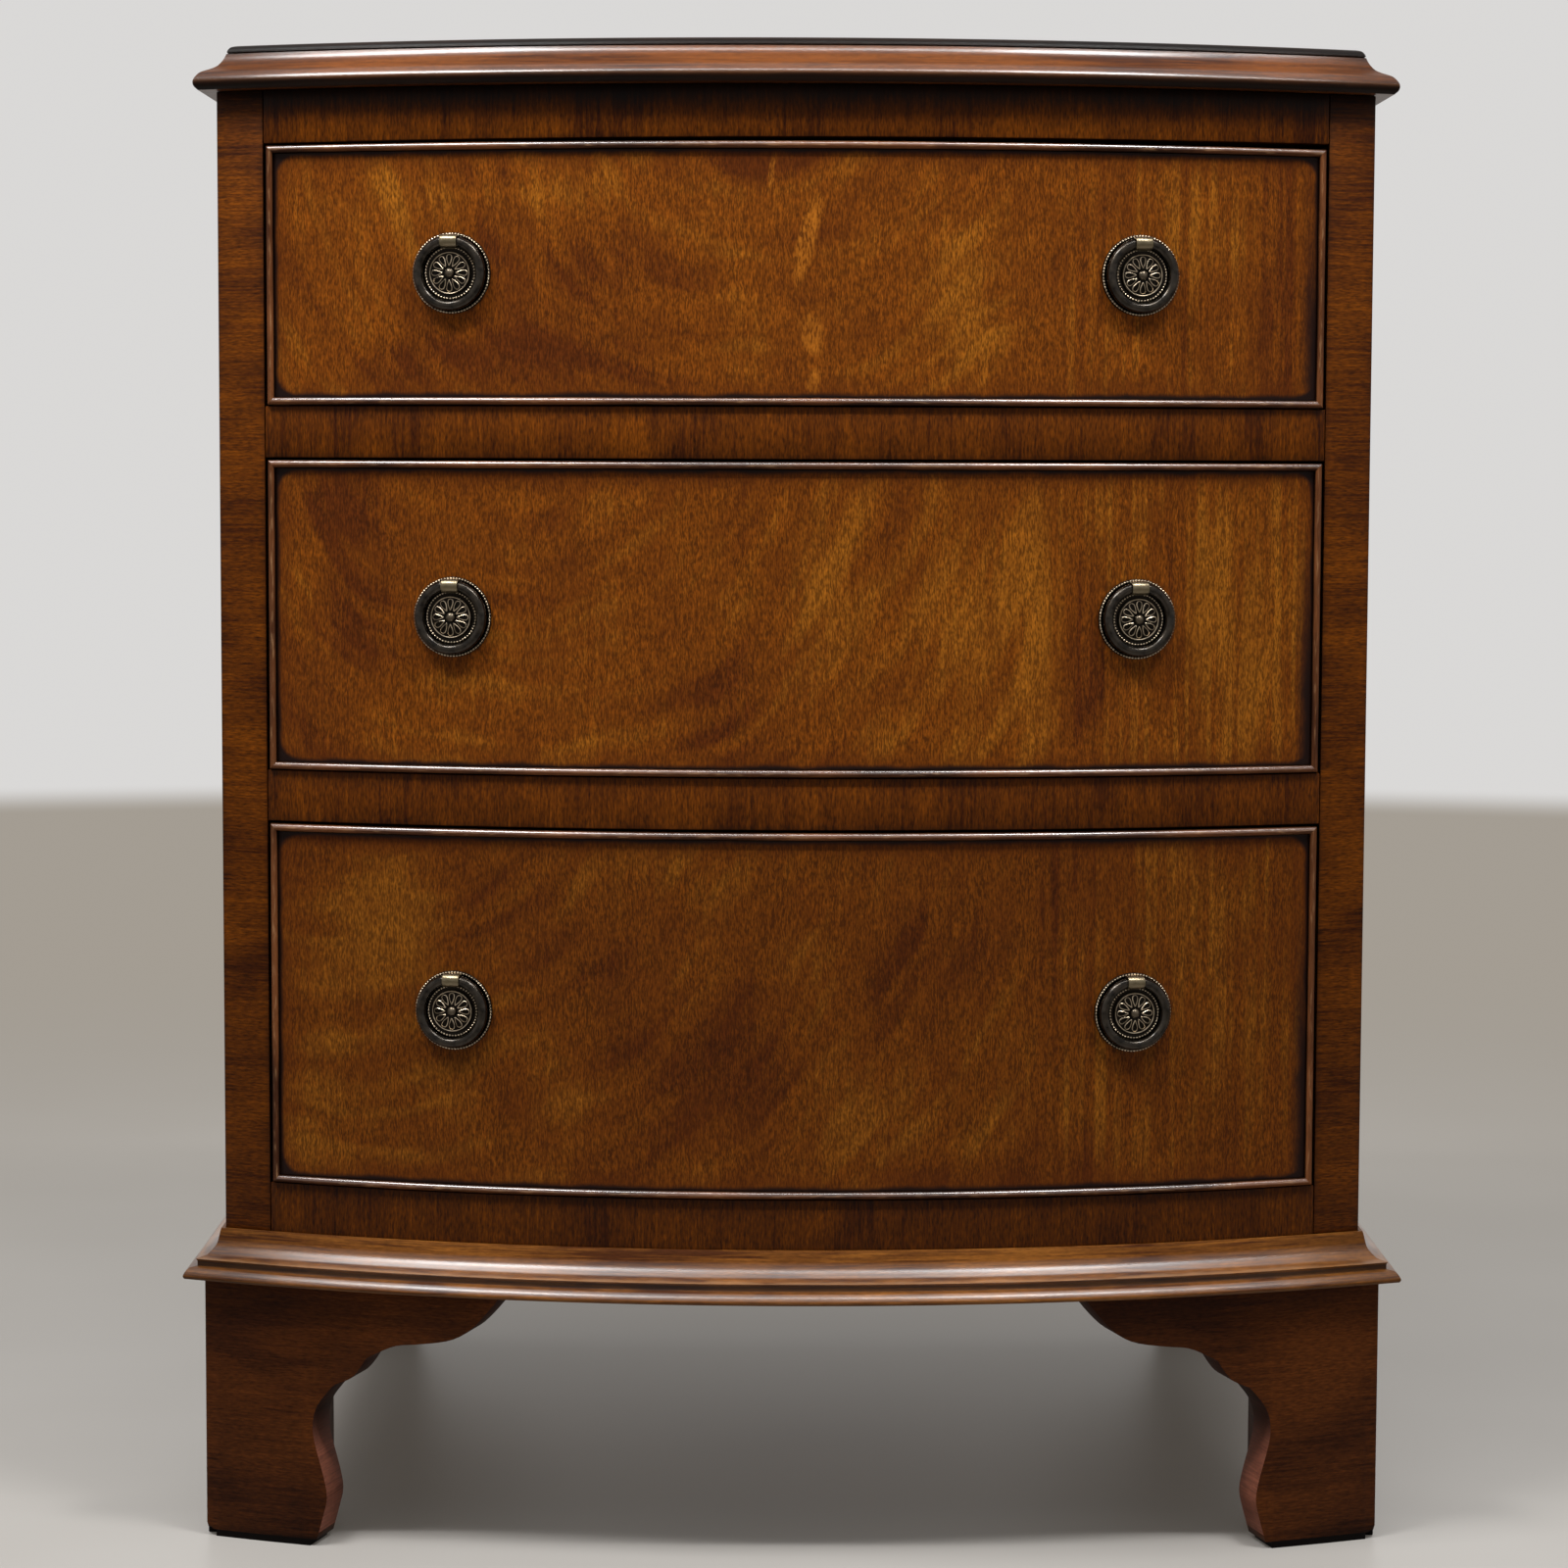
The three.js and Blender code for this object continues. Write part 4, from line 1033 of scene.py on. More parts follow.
    def ring(self, sizes):
        """A round bar spun round the plate's axis, open at the knuckle, with the pivot across the opening."""
        radius = sizes.ring / 2
        mouth = asin((sizes.knuckle_width / 2 + sizes.pivot_clearance) / radius)
        start = (-radius * sin(mouth), -sizes.standoff, radius * cos(mouth))
        lie = (0, pi / 2 - mouth, 0)
        bar = primitive(
            "circle", vertices=16, radius=sizes.ring_bar / 2, fill_type="NGON", location=start, rotation=lie
        )
        bar.name = "pull_ring"
        edit(bar)
        turn_round(LATHE_STEPS, 2 * pi - 2 * mouth)
        face_outwards(bar)
        reach = sizes.knuckle_width + 2 * sizes.pivot_clearance + 1.6 * MM
        combine(bar, self.rod(sizes.pivot / 2, reach, sizes), "UNION")
        return bar

    def nut(self, sizes):
        """A washer and a hexagonal nut on the stud, behind the drawer front."""
        seat = sizes.stud_length - 6 * MM
        washer = MM
        parts = []
        for sides, width, near, far in (
            (6, sizes.nut / cos(pi / 6), washer, washer + sizes.nut_thickness),
            (40, sizes.washer, 0, washer),
        ):
            part = disc(sides, width / 2, seat + near, seat + far)
            round_edges(part, 0.25 * MM)
            combine(part, disc(20, sizes.stud / 2 + 0.1 * MM, 0, 4 * sizes.stud_length), "DIFFERENCE")
            parts.append(part)
        return join("nut", parts)


# Finishes

def operators(operation):
    """An arithmetic operator on sockets, and its reflected form."""

    def forward(self, other):
        return self.math(operation, self, other)

    def reflected(self, other):
        return self.math(operation, other, self)

    return forward, reflected


class Signal:
    """A socket of a material's nodes, with Python's arithmetic."""

    __add__, __radd__ = operators("ADD")
    __sub__, __rsub__ = operators("SUBTRACT")
    __mul__, __rmul__ = operators("MULTIPLY")
    __truediv__, __rtruediv__ = operators("DIVIDE")

    def __init__(self, tree, socket=None):
        self.tree = tree
        self.socket = socket

    def node(self, kind, inputs=None, output=0, **settings):
        """Adds a node: its settings first, then the values or links of its sockets."""
        made = self.tree.nodes.new("ShaderNode" + kind)
        for name, value in settings.items():
            setattr(made, name, value)
        for name, value in (inputs or {}).items():
            if isinstance(value, Signal):
                self.tree.links.new(value.socket, made.inputs[name])
            else:
                made.inputs[name].default_value = value
        return Signal(self.tree, made.outputs[output] if made.outputs else None)

    def math(self, operation, *values):
        return self.node("Math", dict(enumerate(values)), operation=operation)

    def vector_math(self, operation, *values):
        return self.node("VectorMath", dict(enumerate(values)), operation=operation)

    def __abs__(self):
        return self.math("ABSOLUTE", self)

    def root(self):
        return self.math("SQRT", self)

    def least(self, other):
        return self.math("MINIMUM", self, other)

    def most(self, other):
        return self.math("MAXIMUM", self, other)

    def between(self, low, high):
        """0 up to one value and 1 past the other, smooth between; the other way round if low is larger."""
        inputs = {"Value": self, "From Min": low, "From Max": high}
        return self.node("MapRange", inputs, interpolation_type="SMOOTHSTEP")

    def down_to(self, least):
        """A mask from 0 to 1 made to run from a least value to 1."""
        return self * (1 - least) + least

    def mix(self, first, second):
        """The first colour where this is 0, the second where it is 1."""
        colours = [shade if isinstance(shade, Signal) else (*shade, 1.0) for shade in (first, second)]
        return self.node("Mix", {0: self, 6: colours[0], 7: colours[1]}, 2, data_type="RGBA")

    def shaded(self, factor):
        """A colour made darker or lighter."""
        return self.node("VectorMath", {0: self, "Scale": factor}, operation="SCALE")

    def scaled(self, factor):
        return self.vector_math("MULTIPLY", self, (factor, factor, factor))

    def parts(self, axes="XYZ"):
        """The coordinates along the axes named."""
        return [self.node("SeparateXYZ", {0: self}, axis) for axis in axes]

    def noise(self, detail=1.0, roughness=0.5):
        """Noise with features of about one unit, between about -0.5 and 0.5."""
        inputs = {"Vector": self, "Scale": 1.0, "Detail": detail, "Roughness": roughness}
        return self.node("TexNoise", inputs) - 0.5

    def fibres(self, grain, width, run, seed=0.0, detail=1.0):
        """Noise drawn out along the grain, with its width and its run in millimetres."""
        factors = [1 / (run if axis in grain else width) for axis in "XYZ"]
        start = (seed, seed * 1.7, seed * 0.6)
        return self.vector_math("MULTIPLY_ADD", self, factors, start).noise(detail, 0.6)


def vector(x, y, z):
    return x.node("CombineXYZ", {0: x, 1: y, 2: z})


def distance(across, up):
    """How far apart two points are, from how far apart they are along two axes."""
    return (across * across + up * up).root()


def new_material(name):
    """A material without nodes yet, and the point on the piece in millimetres."""
    material = bpy.data.materials.new(name)
    material.use_nodes = True
    material.node_tree.nodes.clear()
    point = Signal(material.node_tree).node("TexCoord", output="Object").scaled(1 / MM)
    return material, point


def close_material(material, shade, roughness, relief=None, depth=0.02, **constants):
    """The surface itself: what varies is linked, and what is the same all over is set on the shader."""
    inputs = {"Base Color": shade, "Roughness": roughness}
    inputs.update({name.replace("_", " "): value for name, value in constants.items()})
    if relief is not None:
        inputs["Normal"] = shade.node("Bump", {"Height": relief, "Distance": depth * MM})
    surface = shade.node("BsdfPrincipled", inputs)
    surface.node("OutputMaterial", {0: surface})
    return material


def wavering(point, reach, size, seed=0.0):
    """The point pushed about slowly, so that grain through it runs in waves."""
    push = [point.fibres("Z", size, size * 2, seed + step) * reach for step in (0.0, 9.0)]
    return point.vector_math("ADD", point, vector(push[0], push[1], push[1] * 0.5))


# For each kind of wood: the grain's direction; the width of its clouds, streaks, fibres and pores in
# millimetres, and how strongly each shows; how rough it is, and how glossy.
WOODS = {
    "rail": ("Z", (22, 4.5, 1.3, 0.7), (0.6, 0.22, 0.5, 1.5), 0.42, 0.08),
    "stile": ("XY", (24, 2.6, 0.9, 0.7), (0.7, 0.28, 0.5, 1.3), 0.42, 0.08),
    "side": ("Z", (45, 6.0, 1.2, 0.6), (0.25, 0.45, 0.6, 1.0), 0.40, 0.12),
    "top": ("X", (45, 6.0, 1.2, 0.6), (0.25, 0.45, 0.6, 1.0), 0.32, 0.20),
    "moulding": ("XY", (45, 3.0, 0.9, 0.6), (0.8, 0.6, 0.7, 0.6), 0.40, 0.10),
    "base": ("XY", (50, 4.0, 1.0, 0.6), (0.7, 0.5, 0.7, 0.6), 0.40, 0.10),
    "bead": ("XY", (25, 5.0, 1.0, 0.6), (1.2, 0.6, 0.4, 0.4), 0.40, 0.10),
    "bead_upright": ("Z", (25, 5.0, 1.0, 0.6), (1.2, 0.6, 0.4, 0.4), 0.40, 0.10),
    "foot": ("XY", (35, 4.0, 1.2, 0.7), (0.9, 0.3, 0.45, 1.0), 0.45, 0.06),
    "foot_edge": ("XY", (20, 3.0, 0.8, 0.6), (0.6, 0.3, 0.5, 0.5), 0.55, 0.10),
}
# The polish over some kinds: how rough it is, and its refractive index.
POLISH = {"moulding": (0.20, 1.48), "base": (0.31, 1.60), "bead": (0.22, 1.90)}


class Wood:
    """A kind of wood while its material is made: its point in millimetres, shade, relief and tone."""

    def __init__(self, name, kind, shades, seed=0.0):
        self.kind = kind
        self.grain, widths, strengths = WOODS[kind][:3]
        self.material, self.point = new_material(name)
        waved = wavering(self.point, 2.0, 60.0, seed)
        cloud, streak, fibre, pore = widths
        tone = waved.fibres(self.grain, cloud, cloud * 2, seed) * strengths[0]
        tone = tone + waved.fibres(self.grain, streak, streak * 30, seed + 2, 2.0) * strengths[1]
        tone = tone + waved.fibres(self.grain, fibre, 25.0, seed + 4) * strengths[2]
        self.tone = tone * 2.6 + 0.5
        self.relief = waved.fibres(self.grain, pore, 3.5, seed + 6)
        dark, light = shades
        middle = tuple((a + b) / 2 for a, b in zip(dark, light))
        shade = self.tone.between(0.5, 0.0).mix(middle, dark)
        self.shade = self.tone.between(0.5, 1.0).mix(shade, light)
        self.darken(self.relief * (strengths[3] * 1.6) + 1)

    def darken(self, factor):
        self.shade = self.shade.shaded(factor)

    def rub(self, mask):
        """Shows wood rubbed through its polish."""
        self.shade = mask.mix(self.shade, bpy.context.scene.chest_colours.worn_edge)

    def finish(self, polish=None):
        """Closes the material, with its kind's polish as far as it is given."""
        roughness, gloss = WOODS[self.kind][3:]
        constants = {"Specular_IOR_Level": gloss}
        if polish is not None:
            coat_roughness, coat_index = POLISH[self.kind]
            constants.update(Coat_Weight=polish, Coat_Roughness=coat_roughness, Coat_IOR=coat_index)
        roughness = self.relief * 0.15 + roughness
        return close_material(self.material, self.shade, roughness, self.relief, **constants)


# Softly edged lighter and darker places of each drawer's figure: x, height from the drawer's middle,
# half width, half height, all in millimetres, and how much lighter or darker.
FIGURE = {
    "upper_drawer": (
        (-150, -42, 90, 16, -0.45),
        (-140, 46, 110, 16, -0.40),
        (-25, -48, 60, 10, -0.30),
        (-45, 46, 30, 9, -0.35),
        (-128, 36, 45, 10, 0.18),
        (60, -15, 50, 45, 0.16),
        (222, -10, 22, 60, -0.25),
    ),
    "middle_drawer": (
        (-215, 52, 30, 18, -0.35),
        (-110, 62, 75, 9, -0.35),
        (-30, -62, 80, 13, -0.30),
        (108, 0, 12, 80, 0.30),
        (131, 0, 11, 80, -0.55),
        (155, -10, 12, 80, 0.35),
        (186, 0, 13, 70, 0.40),
        (10, 10, 90, 30, 0.12),
        (215, 0, 40, 90, 0.40),
        (95, -10, 60, 80, 0.25),
    ),
    "lower_drawer": (
        (-188, 42, 34, 38, 0.75),
        (-215, -20, 20, 60, 0.25),
        (-90, -45, 30, 26, 0.30),
        (-130, -35, 12, 45, -0.30),
        (62, -74, 80, 16, -0.45),
        (-10, 45, 60, 20, -0.20),
        (170, 20, 60, 50, 0.12),
    ),
}
# The lighter flames of the top drawer: x, height from its middle, half width, half height and lean.
FLAMES = ((5, 15, 4.5, 20, 0.22), (7, -27, 5.5, 9, -0.15), (8, -49, 3, 7, 0.1), (-11, 45, 1.4, 9, 0.15))
# Where each drawer's arched figure has its middle: x, and height from the drawer's middle.
ARCHES = {"upper_drawer": (-20, 130), "middle_drawer": (-130, 130), "lower_drawer": (-200, 200)}
# How far apart the arched bands are, and where they give way to straight grain, in millimetres.
ARCH_SPACING = 11
STRAIGHT_FROM = 95
STRAIGHT_PAST = 125
# How light each drawer and each rail is made, lower ones darker: partly their wood's own tone, partly painted
# shade where the light falls off towards the floor.
DRAWER_TONE_AND_SHADE = {"upper_drawer": 0.90, "middle_drawer": 0.82, "lower_drawer": 0.60}
RAIL_TONE_AND_SHADE = {
    "bottom_front_rail": 0.54,
    "lower_divider_rail": 0.90,
    "upper_divider_rail": 0.98,
    "top_front_rail": 1.05,
}
# How far the light veneer of a drawer is rounded off at its corners, in millimetres.
POLISH_AND_SHADE_CORNER = 10.0


def veneer_wood(drawer, seed, low, high, colours):
    """The figured veneer of one drawer front, with old polish gathered along the cockbeads and painted shade
    in the crease beside them.
    """
    material, point = new_material(drawer + "_veneer")
    x, z = point.parts("XZ")
    up = z - (low.z + high.z) / 2 / MM
    waved = wavering(point, 3.0, 45.0, seed)
    clouds = waved.fibres("Z", 60.0, 80.0, seed)
    mottle = waved.fibres("Z", 18.0, 24.0, seed + 9, 2.0)
    curled = wavering(waved, 2.0, 7.0, seed + 20)
    flecks = curled.fibres("Z", 0.6, 2.6, seed + 3) + curled.fibres("Z", 1.0, 7.0, seed + 4) * 0.5
    flecks = flecks.most(-0.15)
    tone = figure_tone(drawer, x, up, waved, clouds, mottle, seed)
    shade = tone.between(0.5, 0.05).mix(colours.veneer, colours.veneer_dark)
    shade = tone.between(0.5, 0.95).mix(shade, colours.veneer_light)
    # Lower drawers darker: partly their own tone, partly painted shade of the light falling off downwards.
    shade = shade.shaded((flecks * 3.2 + 1.0) * DRAWER_TONE_AND_SHADE[drawer])
    if drawer == "upper_drawer":
        shade = light_streak(x, up, waved, shade, flecks, colours)
    # Black along the cockbeads and in the corners: old polish, and painted shade in the crease.
    toned, black = polish_and_shade(x, up, mottle, high.x / MM, (high.z - low.z) / 2 / MM)
    shade = black.mix(toned.mix(shade, colours.veneer_dark), colours.polish_and_shade)
    return close_material(material, shade, mottle * 0.1 + 0.42, flecks, 0.08, Specular_IOR_Level=0.08)


def figure_tone(drawer, x, up, waved, clouds, mottle, seed):
    """How light the figure is: arched bands, straight stripes on the right, and the drawer's own places."""
    arch_x, arch_up = ARCHES[drawer]
    reach = distance((x - arch_x) * 1.15, up - arch_up) + clouds * 30
    bands = vector(reach / ARCH_SPACING, x * 0.012, up * 0.012).noise(2.0)
    straight = x.between(STRAIGHT_FROM, STRAIGHT_PAST)
    stripes = waved.fibres("Z", 4.5, 300.0, seed + 7, 2.0) * straight
    lines = waved.fibres("Z", 1.6, 40.0, seed + 5)
    tone = clouds * 1.2 + bands * (1.0 - straight * 0.6) + stripes * 1.3 + lines * 0.4 + 0.5
    for at_x, at_up, half_width, half_height, gain in FIGURE[drawer]:
        away = distance((x - at_x) / half_width, (up - at_up) / half_height)
        away = away + clouds * 1.5 + mottle * 0.4
        tone = tone + away.between(1.15, 0.2) * (gain * 0.7)
    return tone


def light_streak(x, up, waved, shade, flecks, colours):
    """The flame of lighter grain near the middle of the top drawer, with smaller ones over and under it."""
    wave = waved.fibres("X", 9.0, 30.0, 2.0, 2.0) * 6
    light = flecks * 0.0
    for at_x, at_up, half_width, half_height, lean in FLAMES:
        across = (x - at_x - (up - at_up) * lean - wave) / half_width
        light = light.most(distance(across, (up - at_up) / half_height).between(1.25, 0.6))
    return (light * (flecks * 2.6 + 0.5)).most(0).mix(shade, colours.streak)


def polish_and_shade(x, up, mottle, half_width, half_height):
    """Where a drawer front is toned darker near its edges, and where it is black beside the cockbeads and in
    its corners: partly gathered polish, partly painted shade in that crease.
    """
    past_x = (abs(x) - (half_width - POLISH_AND_SHADE_CORNER)).most(0)
    past_up = (abs(up) - (half_height - POLISH_AND_SHADE_CORNER)).most(0)
    inside = POLISH_AND_SHADE_CORNER - distance(past_x, past_up)
    inside = inside.least(half_width - abs(x)).least(half_height - abs(up))
    toned = (inside + mottle * 22).between(16, 0) * 0.55
    smudge = (x + mottle * 9).between(half_width - 9, half_width - 1) * (up + mottle * 60).between(70, -30)
    return toned, (inside + mottle * 3).between(2.8, 0.2).most(smudge)


def rail_wood(node, seed, low, high, colours):
    """Crossbanding: short upright grain, darker along its edges and ends, partly by painted shade beside the
    cockbeads, and with a painted black shadow under the top's overhang.
    """
    wood = Wood(node + "_crossbanding", "rail", (colours.rail_dark, colours.rail_light), seed)
    x, z = wood.point.parts("XZ")
    from_edge = (z - low.z / MM).least(high.z / MM - z) + wood.tone * 2.0
    from_end = high.x / MM - abs(x) + wood.tone * 8.0
    edges = from_edge.between(0.0, 4.0).down_to(0.65) * from_end.between(-4, 16.0).down_to(0.7)
    # Darker along the edges, partly painted shade beside the cockbeads; each rail by its factor, partly
    # painted shade of the light falling off downwards.
    wood.darken(edges * RAIL_TONE_AND_SHADE[node])
    if node == "top_front_rail":
        # Painted shadow of the top's overhang on the frieze.
        wood.darken((high.z / MM - z + wood.tone * 3.0).between(4.0, 19.0).down_to(0.08))
    return wood.finish()


def stile_wood(colours):
    """Crossbanding on the stiles: short level grain, darker towards its edges, with a painted black shadow
    under the top's overhang.
    """
    wood = Wood("stile_banding", "stile", (colours.stile_dark, colours.stile_light))
    x, z = wood.point.parts("XZ")
    from_edge = (abs(x) - HALF_OPENING / MM).least(HALF_WIDTH / MM - abs(x))
    wood.darken((from_edge + wood.tone).between(-0.5, 3.0).down_to(0.6))
    # Painted shadow of the top's overhang.
    wood.darken((SIDE_HIGH.z / MM - z + wood.tone * 3.0).between(2.0, 17.0).down_to(0.1))
    return wood.finish()


def foot_wood(shades, pad):
    """Level grain on the feet, dark near the floor and black on the pads under them."""
    wood = Wood("foot_face", "foot", shades)
    z = wood.point.parts("Z")[0]
    wood.darken(z.between(pad, pad + 0.4) * (z + wood.tone * 4).between(-4, 14) + 0.03)
    return wood.finish()


def sawn_wood(shades):
    """The sawn inner edges of the feet, with painted shade where they turn into the arch."""
    wood = Wood("foot_sawn_edge", "foot_edge", shades)
    z = wood.point.parts("Z")[0]
    # Painted shade where the edge turns into the arch and faces the floor.
    wood.darken((z + wood.tone * 5).between(66, 46).down_to(0.15))
    return wood.finish()


def bead_wood(name, kind, shades, lit=()):
    """Cockbeads: rubbed on their crests, darker along their feet, partly dirt and partly painted shade that
    shows their round, and polished at the heights given.
    """
    wood = Wood(name, kind, shades)
    x, y, z = wood.point.parts()
    out = distance(x, y - BOW_CENTRE_Y / MM) - BOW_RADIUS / MM
    # Darker towards the feet of the bead: partly dirt, partly painted shade on its rounded sides.
    wood.darken((out + wood.tone * 0.4).between(1.3, 2.6).down_to(0.15))
    rubbing = wood.point.fibres(wood.grain, 1.2, 9.0, 3.0, 2.0)
    wood.rub((out + rubbing * 2.2).between(2.5, 3.2) * 0.5)
    if not lit:
        return wood.finish()
    above_low, above_high = (abs(z - height / MM).between(1.1, 0.6) for height in lit)
    return wood.finish(above_low.most(above_high) * out.between(0.7, 1.2))


def moulding_wood(name, kind, shades, bottom, marks):
    """A moulded edge with its marks, duller near the corners of the chest and painted darker there, as shade
    where less reflection shows.
    """
    wood = Wood(name, kind, shades)
    x, y, z = wood.point.parts()
    level = z - bottom / MM
    rubbing = wood.point.fibres(wood.grain, 5.0, 22.0, 11.0, 3.0)
    for height, reach, strength in marks["worn"]:
        wood.rub((abs(level - height) + rubbing * reach * -2.5).between(reach, reach * 0.3) * strength)
    # Painted shade in the quirks, under the nose and along the upper edge.
    for height, reach, strength in marks["painted_shade"]:
        wood.darken(1.0 - abs(level - height).between(reach, reach * 0.3) * strength)
    from_corner = (HALF_WIDTH / MM - abs(x)).most(y - SIDE_LOW.y / MM)
    # Painted shade: darker towards the corners of the chest, where less reflection shows.
    wood.darken(from_corner.between(-5.0, 60.0).down_to(0.65))
    gloss = z * 0.0
    for height, reach, strength in marks["polished"]:
        gloss = gloss.most(abs(level - height).between(reach, reach * 0.6) * strength)
    return wood.finish(gloss * from_corner.between(0.0, 45.0).down_to(0.4) * (rubbing * 0.5 + 0.95))


def bare_wood(grain, colours):
    """Unpolished wood inside; one material for each direction of the grain."""
    name = "bare_wood_" + grain.lower()
    if name in bpy.data.materials:
        return bpy.data.materials[name]
    material, point = new_material(name)
    rings = point.fibres(grain, 7.0, 240.0, 3.0, 2.0) * 1.2
    fine = point.fibres(grain, 0.9, 20.0, 5.0)
    shade = (rings + fine * 0.5 + 0.5).mix(colours.lining_dark, colours.lining_light)
    return close_material(material, shade, fine * 0.1 + 0.6, fine, 0.05, Specular_IOR_Level=0.3)


def metal(name, shade_of, roughness, **constants):
    """Old metal. A function works its shade out from the place on the pull and its stain."""
    material, point = new_material(name)
    own = point.node("Attribute", output="Vector", attribute_name="own_place").scaled(1 / MM)
    stain = own.scaled(0.3).noise(3.0)
    shade = shade_of(own, stain)
    return close_material(material, shade, stain * 0.3 + roughness, Metallic=1.0, **constants)


def ring_brass(colours):
    """Brass gone nearly black, with a little polish over it."""

    def shade_of(own, stain):
        return (stain * 2 + 0.3).mix(colours.brass_dark, colours.brass_brown)

    return metal("ring_brass", shade_of, 0.30, Coat_Weight=0.22, Coat_Roughness=0.14, Coat_IOR=1.5)


def plate_brass(sizes, colours):
    """Brass gone nearly black, rubbed bright on its beads, its petals, its knob and its strap."""
    face = (JOINT_GAP + sizes.plate_thickness) / MM
    boss = sizes.boss_height / MM
    rosette = sizes.rosette / 2 / MM
    boss_edge = 12.15
    slope_foot = sizes.rosette_height / MM - boss - 0.6

    def shade_of(own, stain):
        x, y, z = own.parts()
        out = y * -1
        radius = distance(x, z)
        slope = (rosette - radius) * 0.1 + slope_foot
        level = radius.between(boss_edge, boss_edge - 0.05) * boss
        level = level + radius.between(rosette - 0.3, rosette - 0.4) * slope + face
        proud = (out - level + stain * 0.3).between(0.12, 0.5)
        knob = radius.between(2.8, 2.4) * 0.75
        shade = (proud * (stain * 1.6 + 0.75) * (1.0 - knob)).mix(colours.brass_dark, colours.brass_worn)
        strap = abs(x).between(4.2, 4.1) * z.between(10.8, 11) * out.between(1.8, 2.2)
        return (strap * (stain + 0.8)).mix(shade, colours.brass_strap)

    return metal("plate_brass", shade_of, 0.32)


def steel_metal(colours):
    return metal("steel", lambda own, stain: (stain + 0.5).mix(colours.brass_brown, colours.steel), 0.4)


# Stage

# Each lamp: where it stands, and its width and depth, all in metres.
LAMPS = {
    "left_lamp": ((-0.85, -0.80, 2.05), (0.8, 0.3)),
    "right_lamp": ((0.65, -0.85, 2.05), (0.4, 0.3)),
    "strip_lamp": ((0, -1.0, 2.1), (3.0, 0.09)),
    "ceiling_lamp": ((0, -0.8, 2.9), (4, 4)),
}
# What the lamps are turned to; the one on the ceiling shines straight down.
LIT_POINT = Vector((0, -0.2, 0.45))


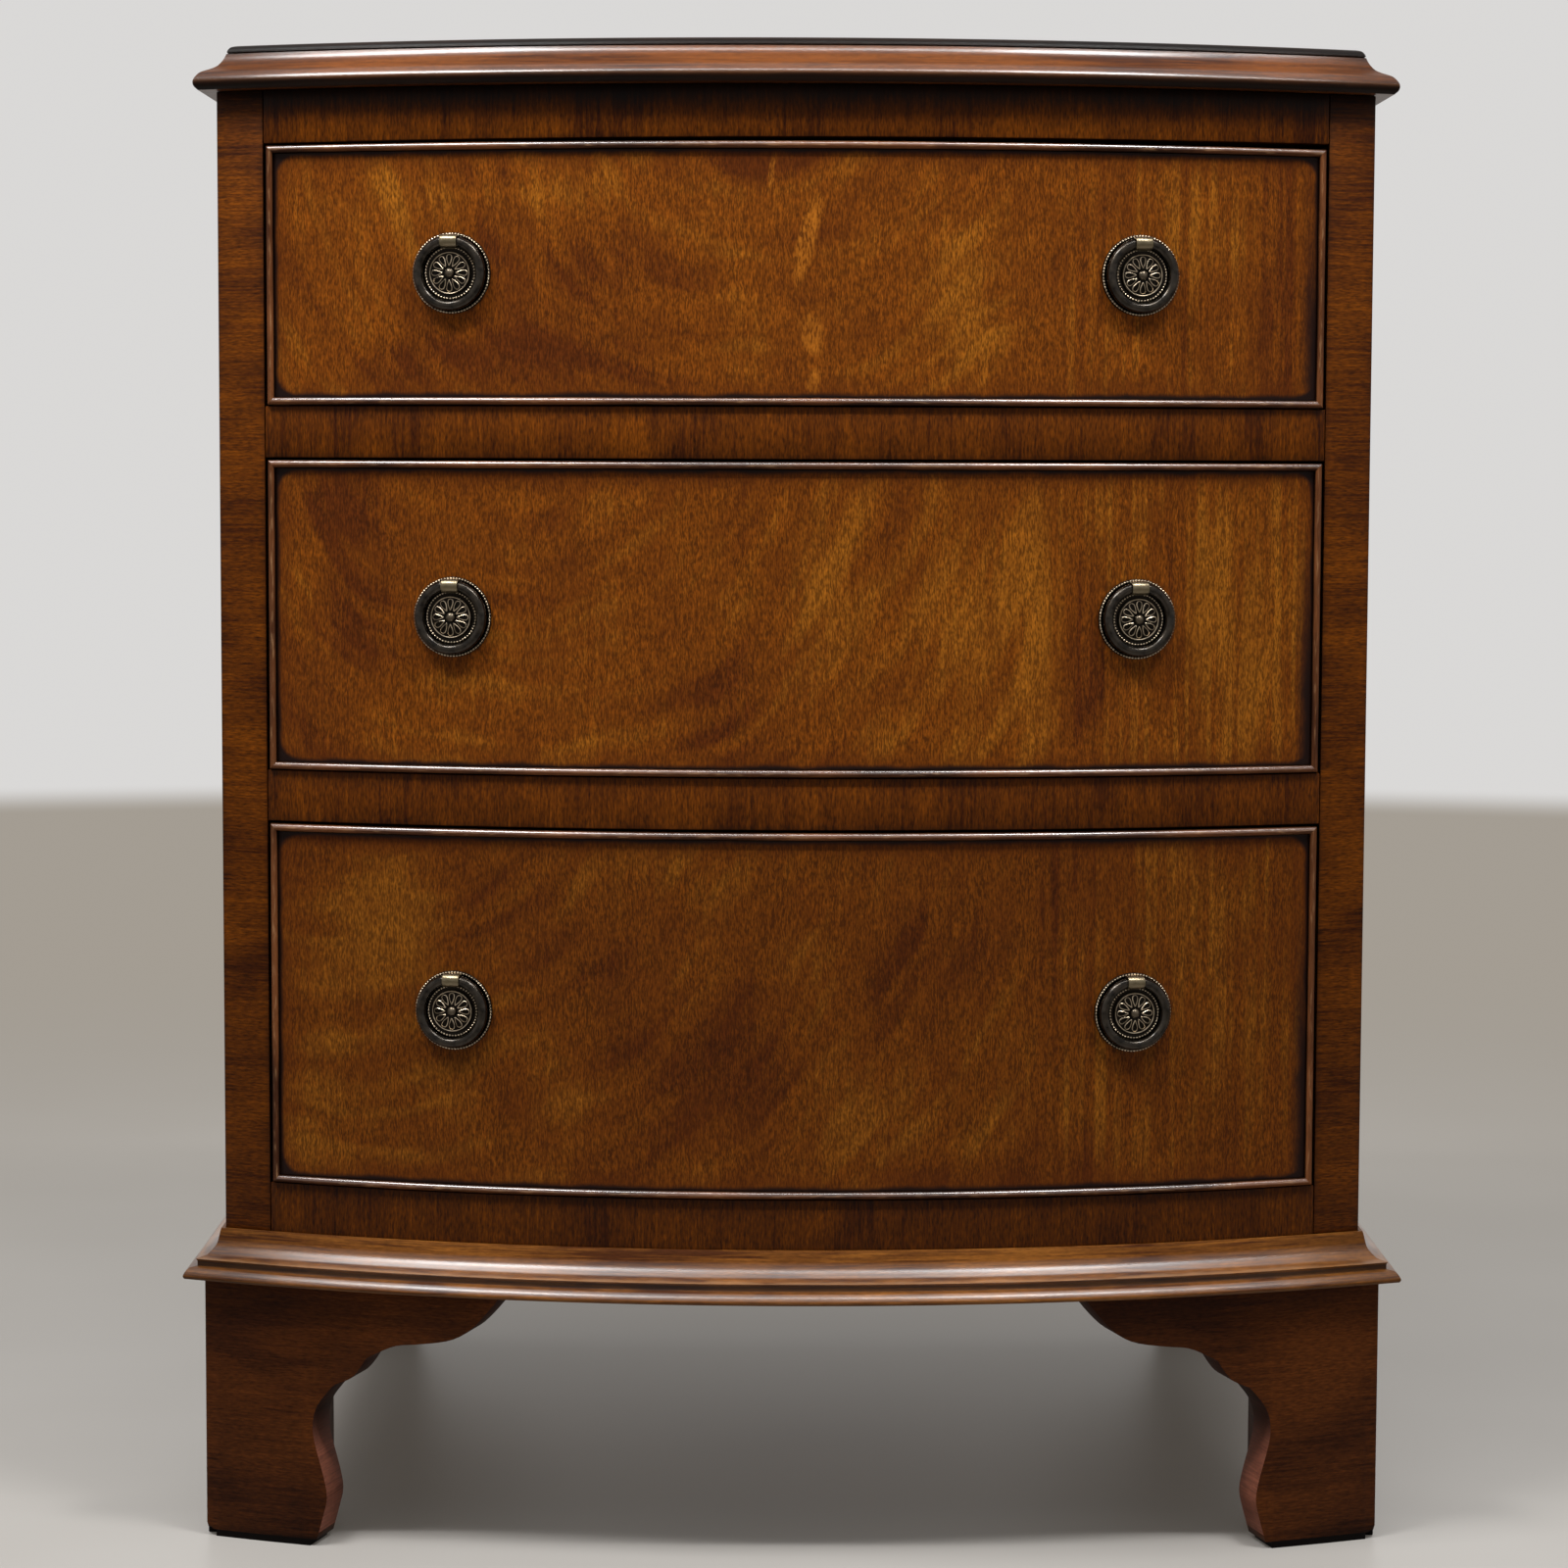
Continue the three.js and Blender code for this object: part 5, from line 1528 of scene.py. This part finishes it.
class CHEST_OT_stage(Operator):
    """The floor, the lamps, the world and the camera"""

    bl_idname = "chest.stage"
    bl_label = "Stage"

    def execute(self, context):
        stage = context.scene.stage_sizes
        self.floor(stage)
        self.world(context.scene, stage)
        for name in LAMPS:
            self.lamp(name, getattr(stage, name))
        self.camera(context.scene, stage)
        return {"FINISHED"}

    def floor(self, stage):
        """A round floor that glows a little even under the chest, a painted light that lifts its shade, and
        more and more outwards until it is the background at its rim.
        """
        rim = stage.floor_radius
        floor = primitive("circle", vertices=96, radius=rim, fill_type="NGON")
        floor.name = "floor"
        material, point = new_material("floor")
        away = distance(*point.parts("XY")) * MM
        light = point.scaled(0.004).noise(2.0).between(-0.5, 0.5)
        shade = light.mix(stage.floor, stage.floor_light)
        finish = {"Base Color": shade, "Roughness": 0.42, "Specular IOR Level": 0.5}
        surface = shade.node("BsdfPrincipled", finish)
        far = away.between(0.88 * rim, rim).mix(stage.floor_far, stage.background)
        glow = shade.node("Emission", {"Color": far})
        # Painted light: the floor's glow, faint in the middle and full from half its radius out.
        mixed = away.node("MixShader", {0: away.between(-0.07 * rim, 0.5 * rim), 1: surface, 2: glow})
        mixed.node("OutputMaterial", {0: mixed})
        floor.data.materials.append(material)

    def world(self, scene, stage):
        """Dim light from all round, behind a background that is pale wherever it is seen."""
        world = bpy.data.worlds.new("studio")
        scene.world = world
        world.use_nodes = True
        world.node_tree.nodes.clear()
        tree = Signal(world.node_tree)
        rays = ("Is Camera Ray", "Is Glossy Ray", "Is Transmission Ray")
        camera, glossy, through = (tree.node("LightPath", output=name) for name in rays)
        seen = camera.most(glossy).most(through)
        light = tree.node("Background", {"Color": (0.96, 0.98, 1.0, 1.0), "Strength": stage.ambient})
        pale = tree.node("Background", {"Color": (*stage.background, 1.0)})
        mixed = tree.node("MixShader", {0: seen, 1: light, 2: pale})
        mixed.node("OutputWorld", {0: mixed})

    def lamp(self, name, watts):
        """A soft rectangular lamp that the camera doesn't see."""
        place, size = LAMPS[name]
        place = Vector(place)
        facing = -UP if name == "ceiling_lamp" else LIT_POINT - place
        data = bpy.data.lights.new(name, "AREA")
        data.shape = "RECTANGLE"
        data.size, data.size_y = size
        data.energy = watts
        lamp = bpy.data.objects.new(name, data)
        bpy.context.scene.collection.objects.link(lamp)
        lamp.location = place
        lamp.rotation_euler = facing.to_track_quat("-Z", "Y").to_euler()
        lamp.visible_camera = False

    def camera(self, scene, stage):
        data = bpy.data.cameras.new("camera")
        data.sensor_width = 36
        data.lens = stage.lens
        camera = bpy.data.objects.new("camera", data)
        scene.collection.objects.link(camera)
        place = (stage.camera_side, bow_y(HALF_WIDTH) - stage.camera_distance, stage.camera_height)
        camera.matrix_world = (
            Matrix.Translation(place)
            @ Matrix.Rotation(-stage.camera_yaw, 4, "Z")
            @ Matrix.Rotation(pi / 2 - stage.camera_pitch, 4, "X")
            @ Matrix.Rotation(stage.camera_roll, 4, "Z")
        )
        scene.camera = camera
        scene.view_settings.view_transform = "Standard"


# Panel and registration

MAKERS = (
    CHEST_OT_stage,
    CHEST_OT_top,
    CHEST_OT_sides,
    CHEST_OT_rails,
    CHEST_OT_base,
    CHEST_OT_feet,
    CHEST_OT_drawer_fronts,
    CHEST_OT_cockbeads,
    CHEST_OT_drawer_boxes,
    CHEST_OT_inside,
    CHEST_OT_ring_pulls,
)
GROUPS = {
    "chest_sizes": ChestSizes,
    "pull_sizes": PullSizes,
    "chest_colours": ChestColours,
    "stage_sizes": StageSizes,
}


class CHEST_PT_panel(Panel):
    """Lists the pieces in the 3D view's sidebar"""

    bl_idname = "CHEST_PT_panel"
    bl_label = "Bow front chest"
    bl_space_type = "VIEW_3D"
    bl_region_type = "UI"
    bl_category = "Chest"

    def draw(self, context):
        for maker in MAKERS:
            self.layout.operator(maker.bl_idname)
        for group, kind in GROUPS.items():
            box = self.layout.box()
            for name in kind.__annotations__:
                box.prop(getattr(context.scene, group), name)


def register():
    for kind in (*GROUPS.values(), *MAKERS, CHEST_PT_panel):
        bpy.utils.register_class(kind)
    for name, kind in GROUPS.items():
        setattr(bpy.types.Scene, name, PointerProperty(type=kind))


def unregister():
    for name in GROUPS:
        delattr(bpy.types.Scene, name)
    for kind in reversed((*GROUPS.values(), *MAKERS, CHEST_PT_panel)):
        bpy.utils.unregister_class(kind)


def main():
    register()
    for maker in MAKERS:
        group, name = maker.bl_idname.split(".")
        getattr(getattr(bpy.ops, group), name)()


if __name__ == "__main__":
    main()
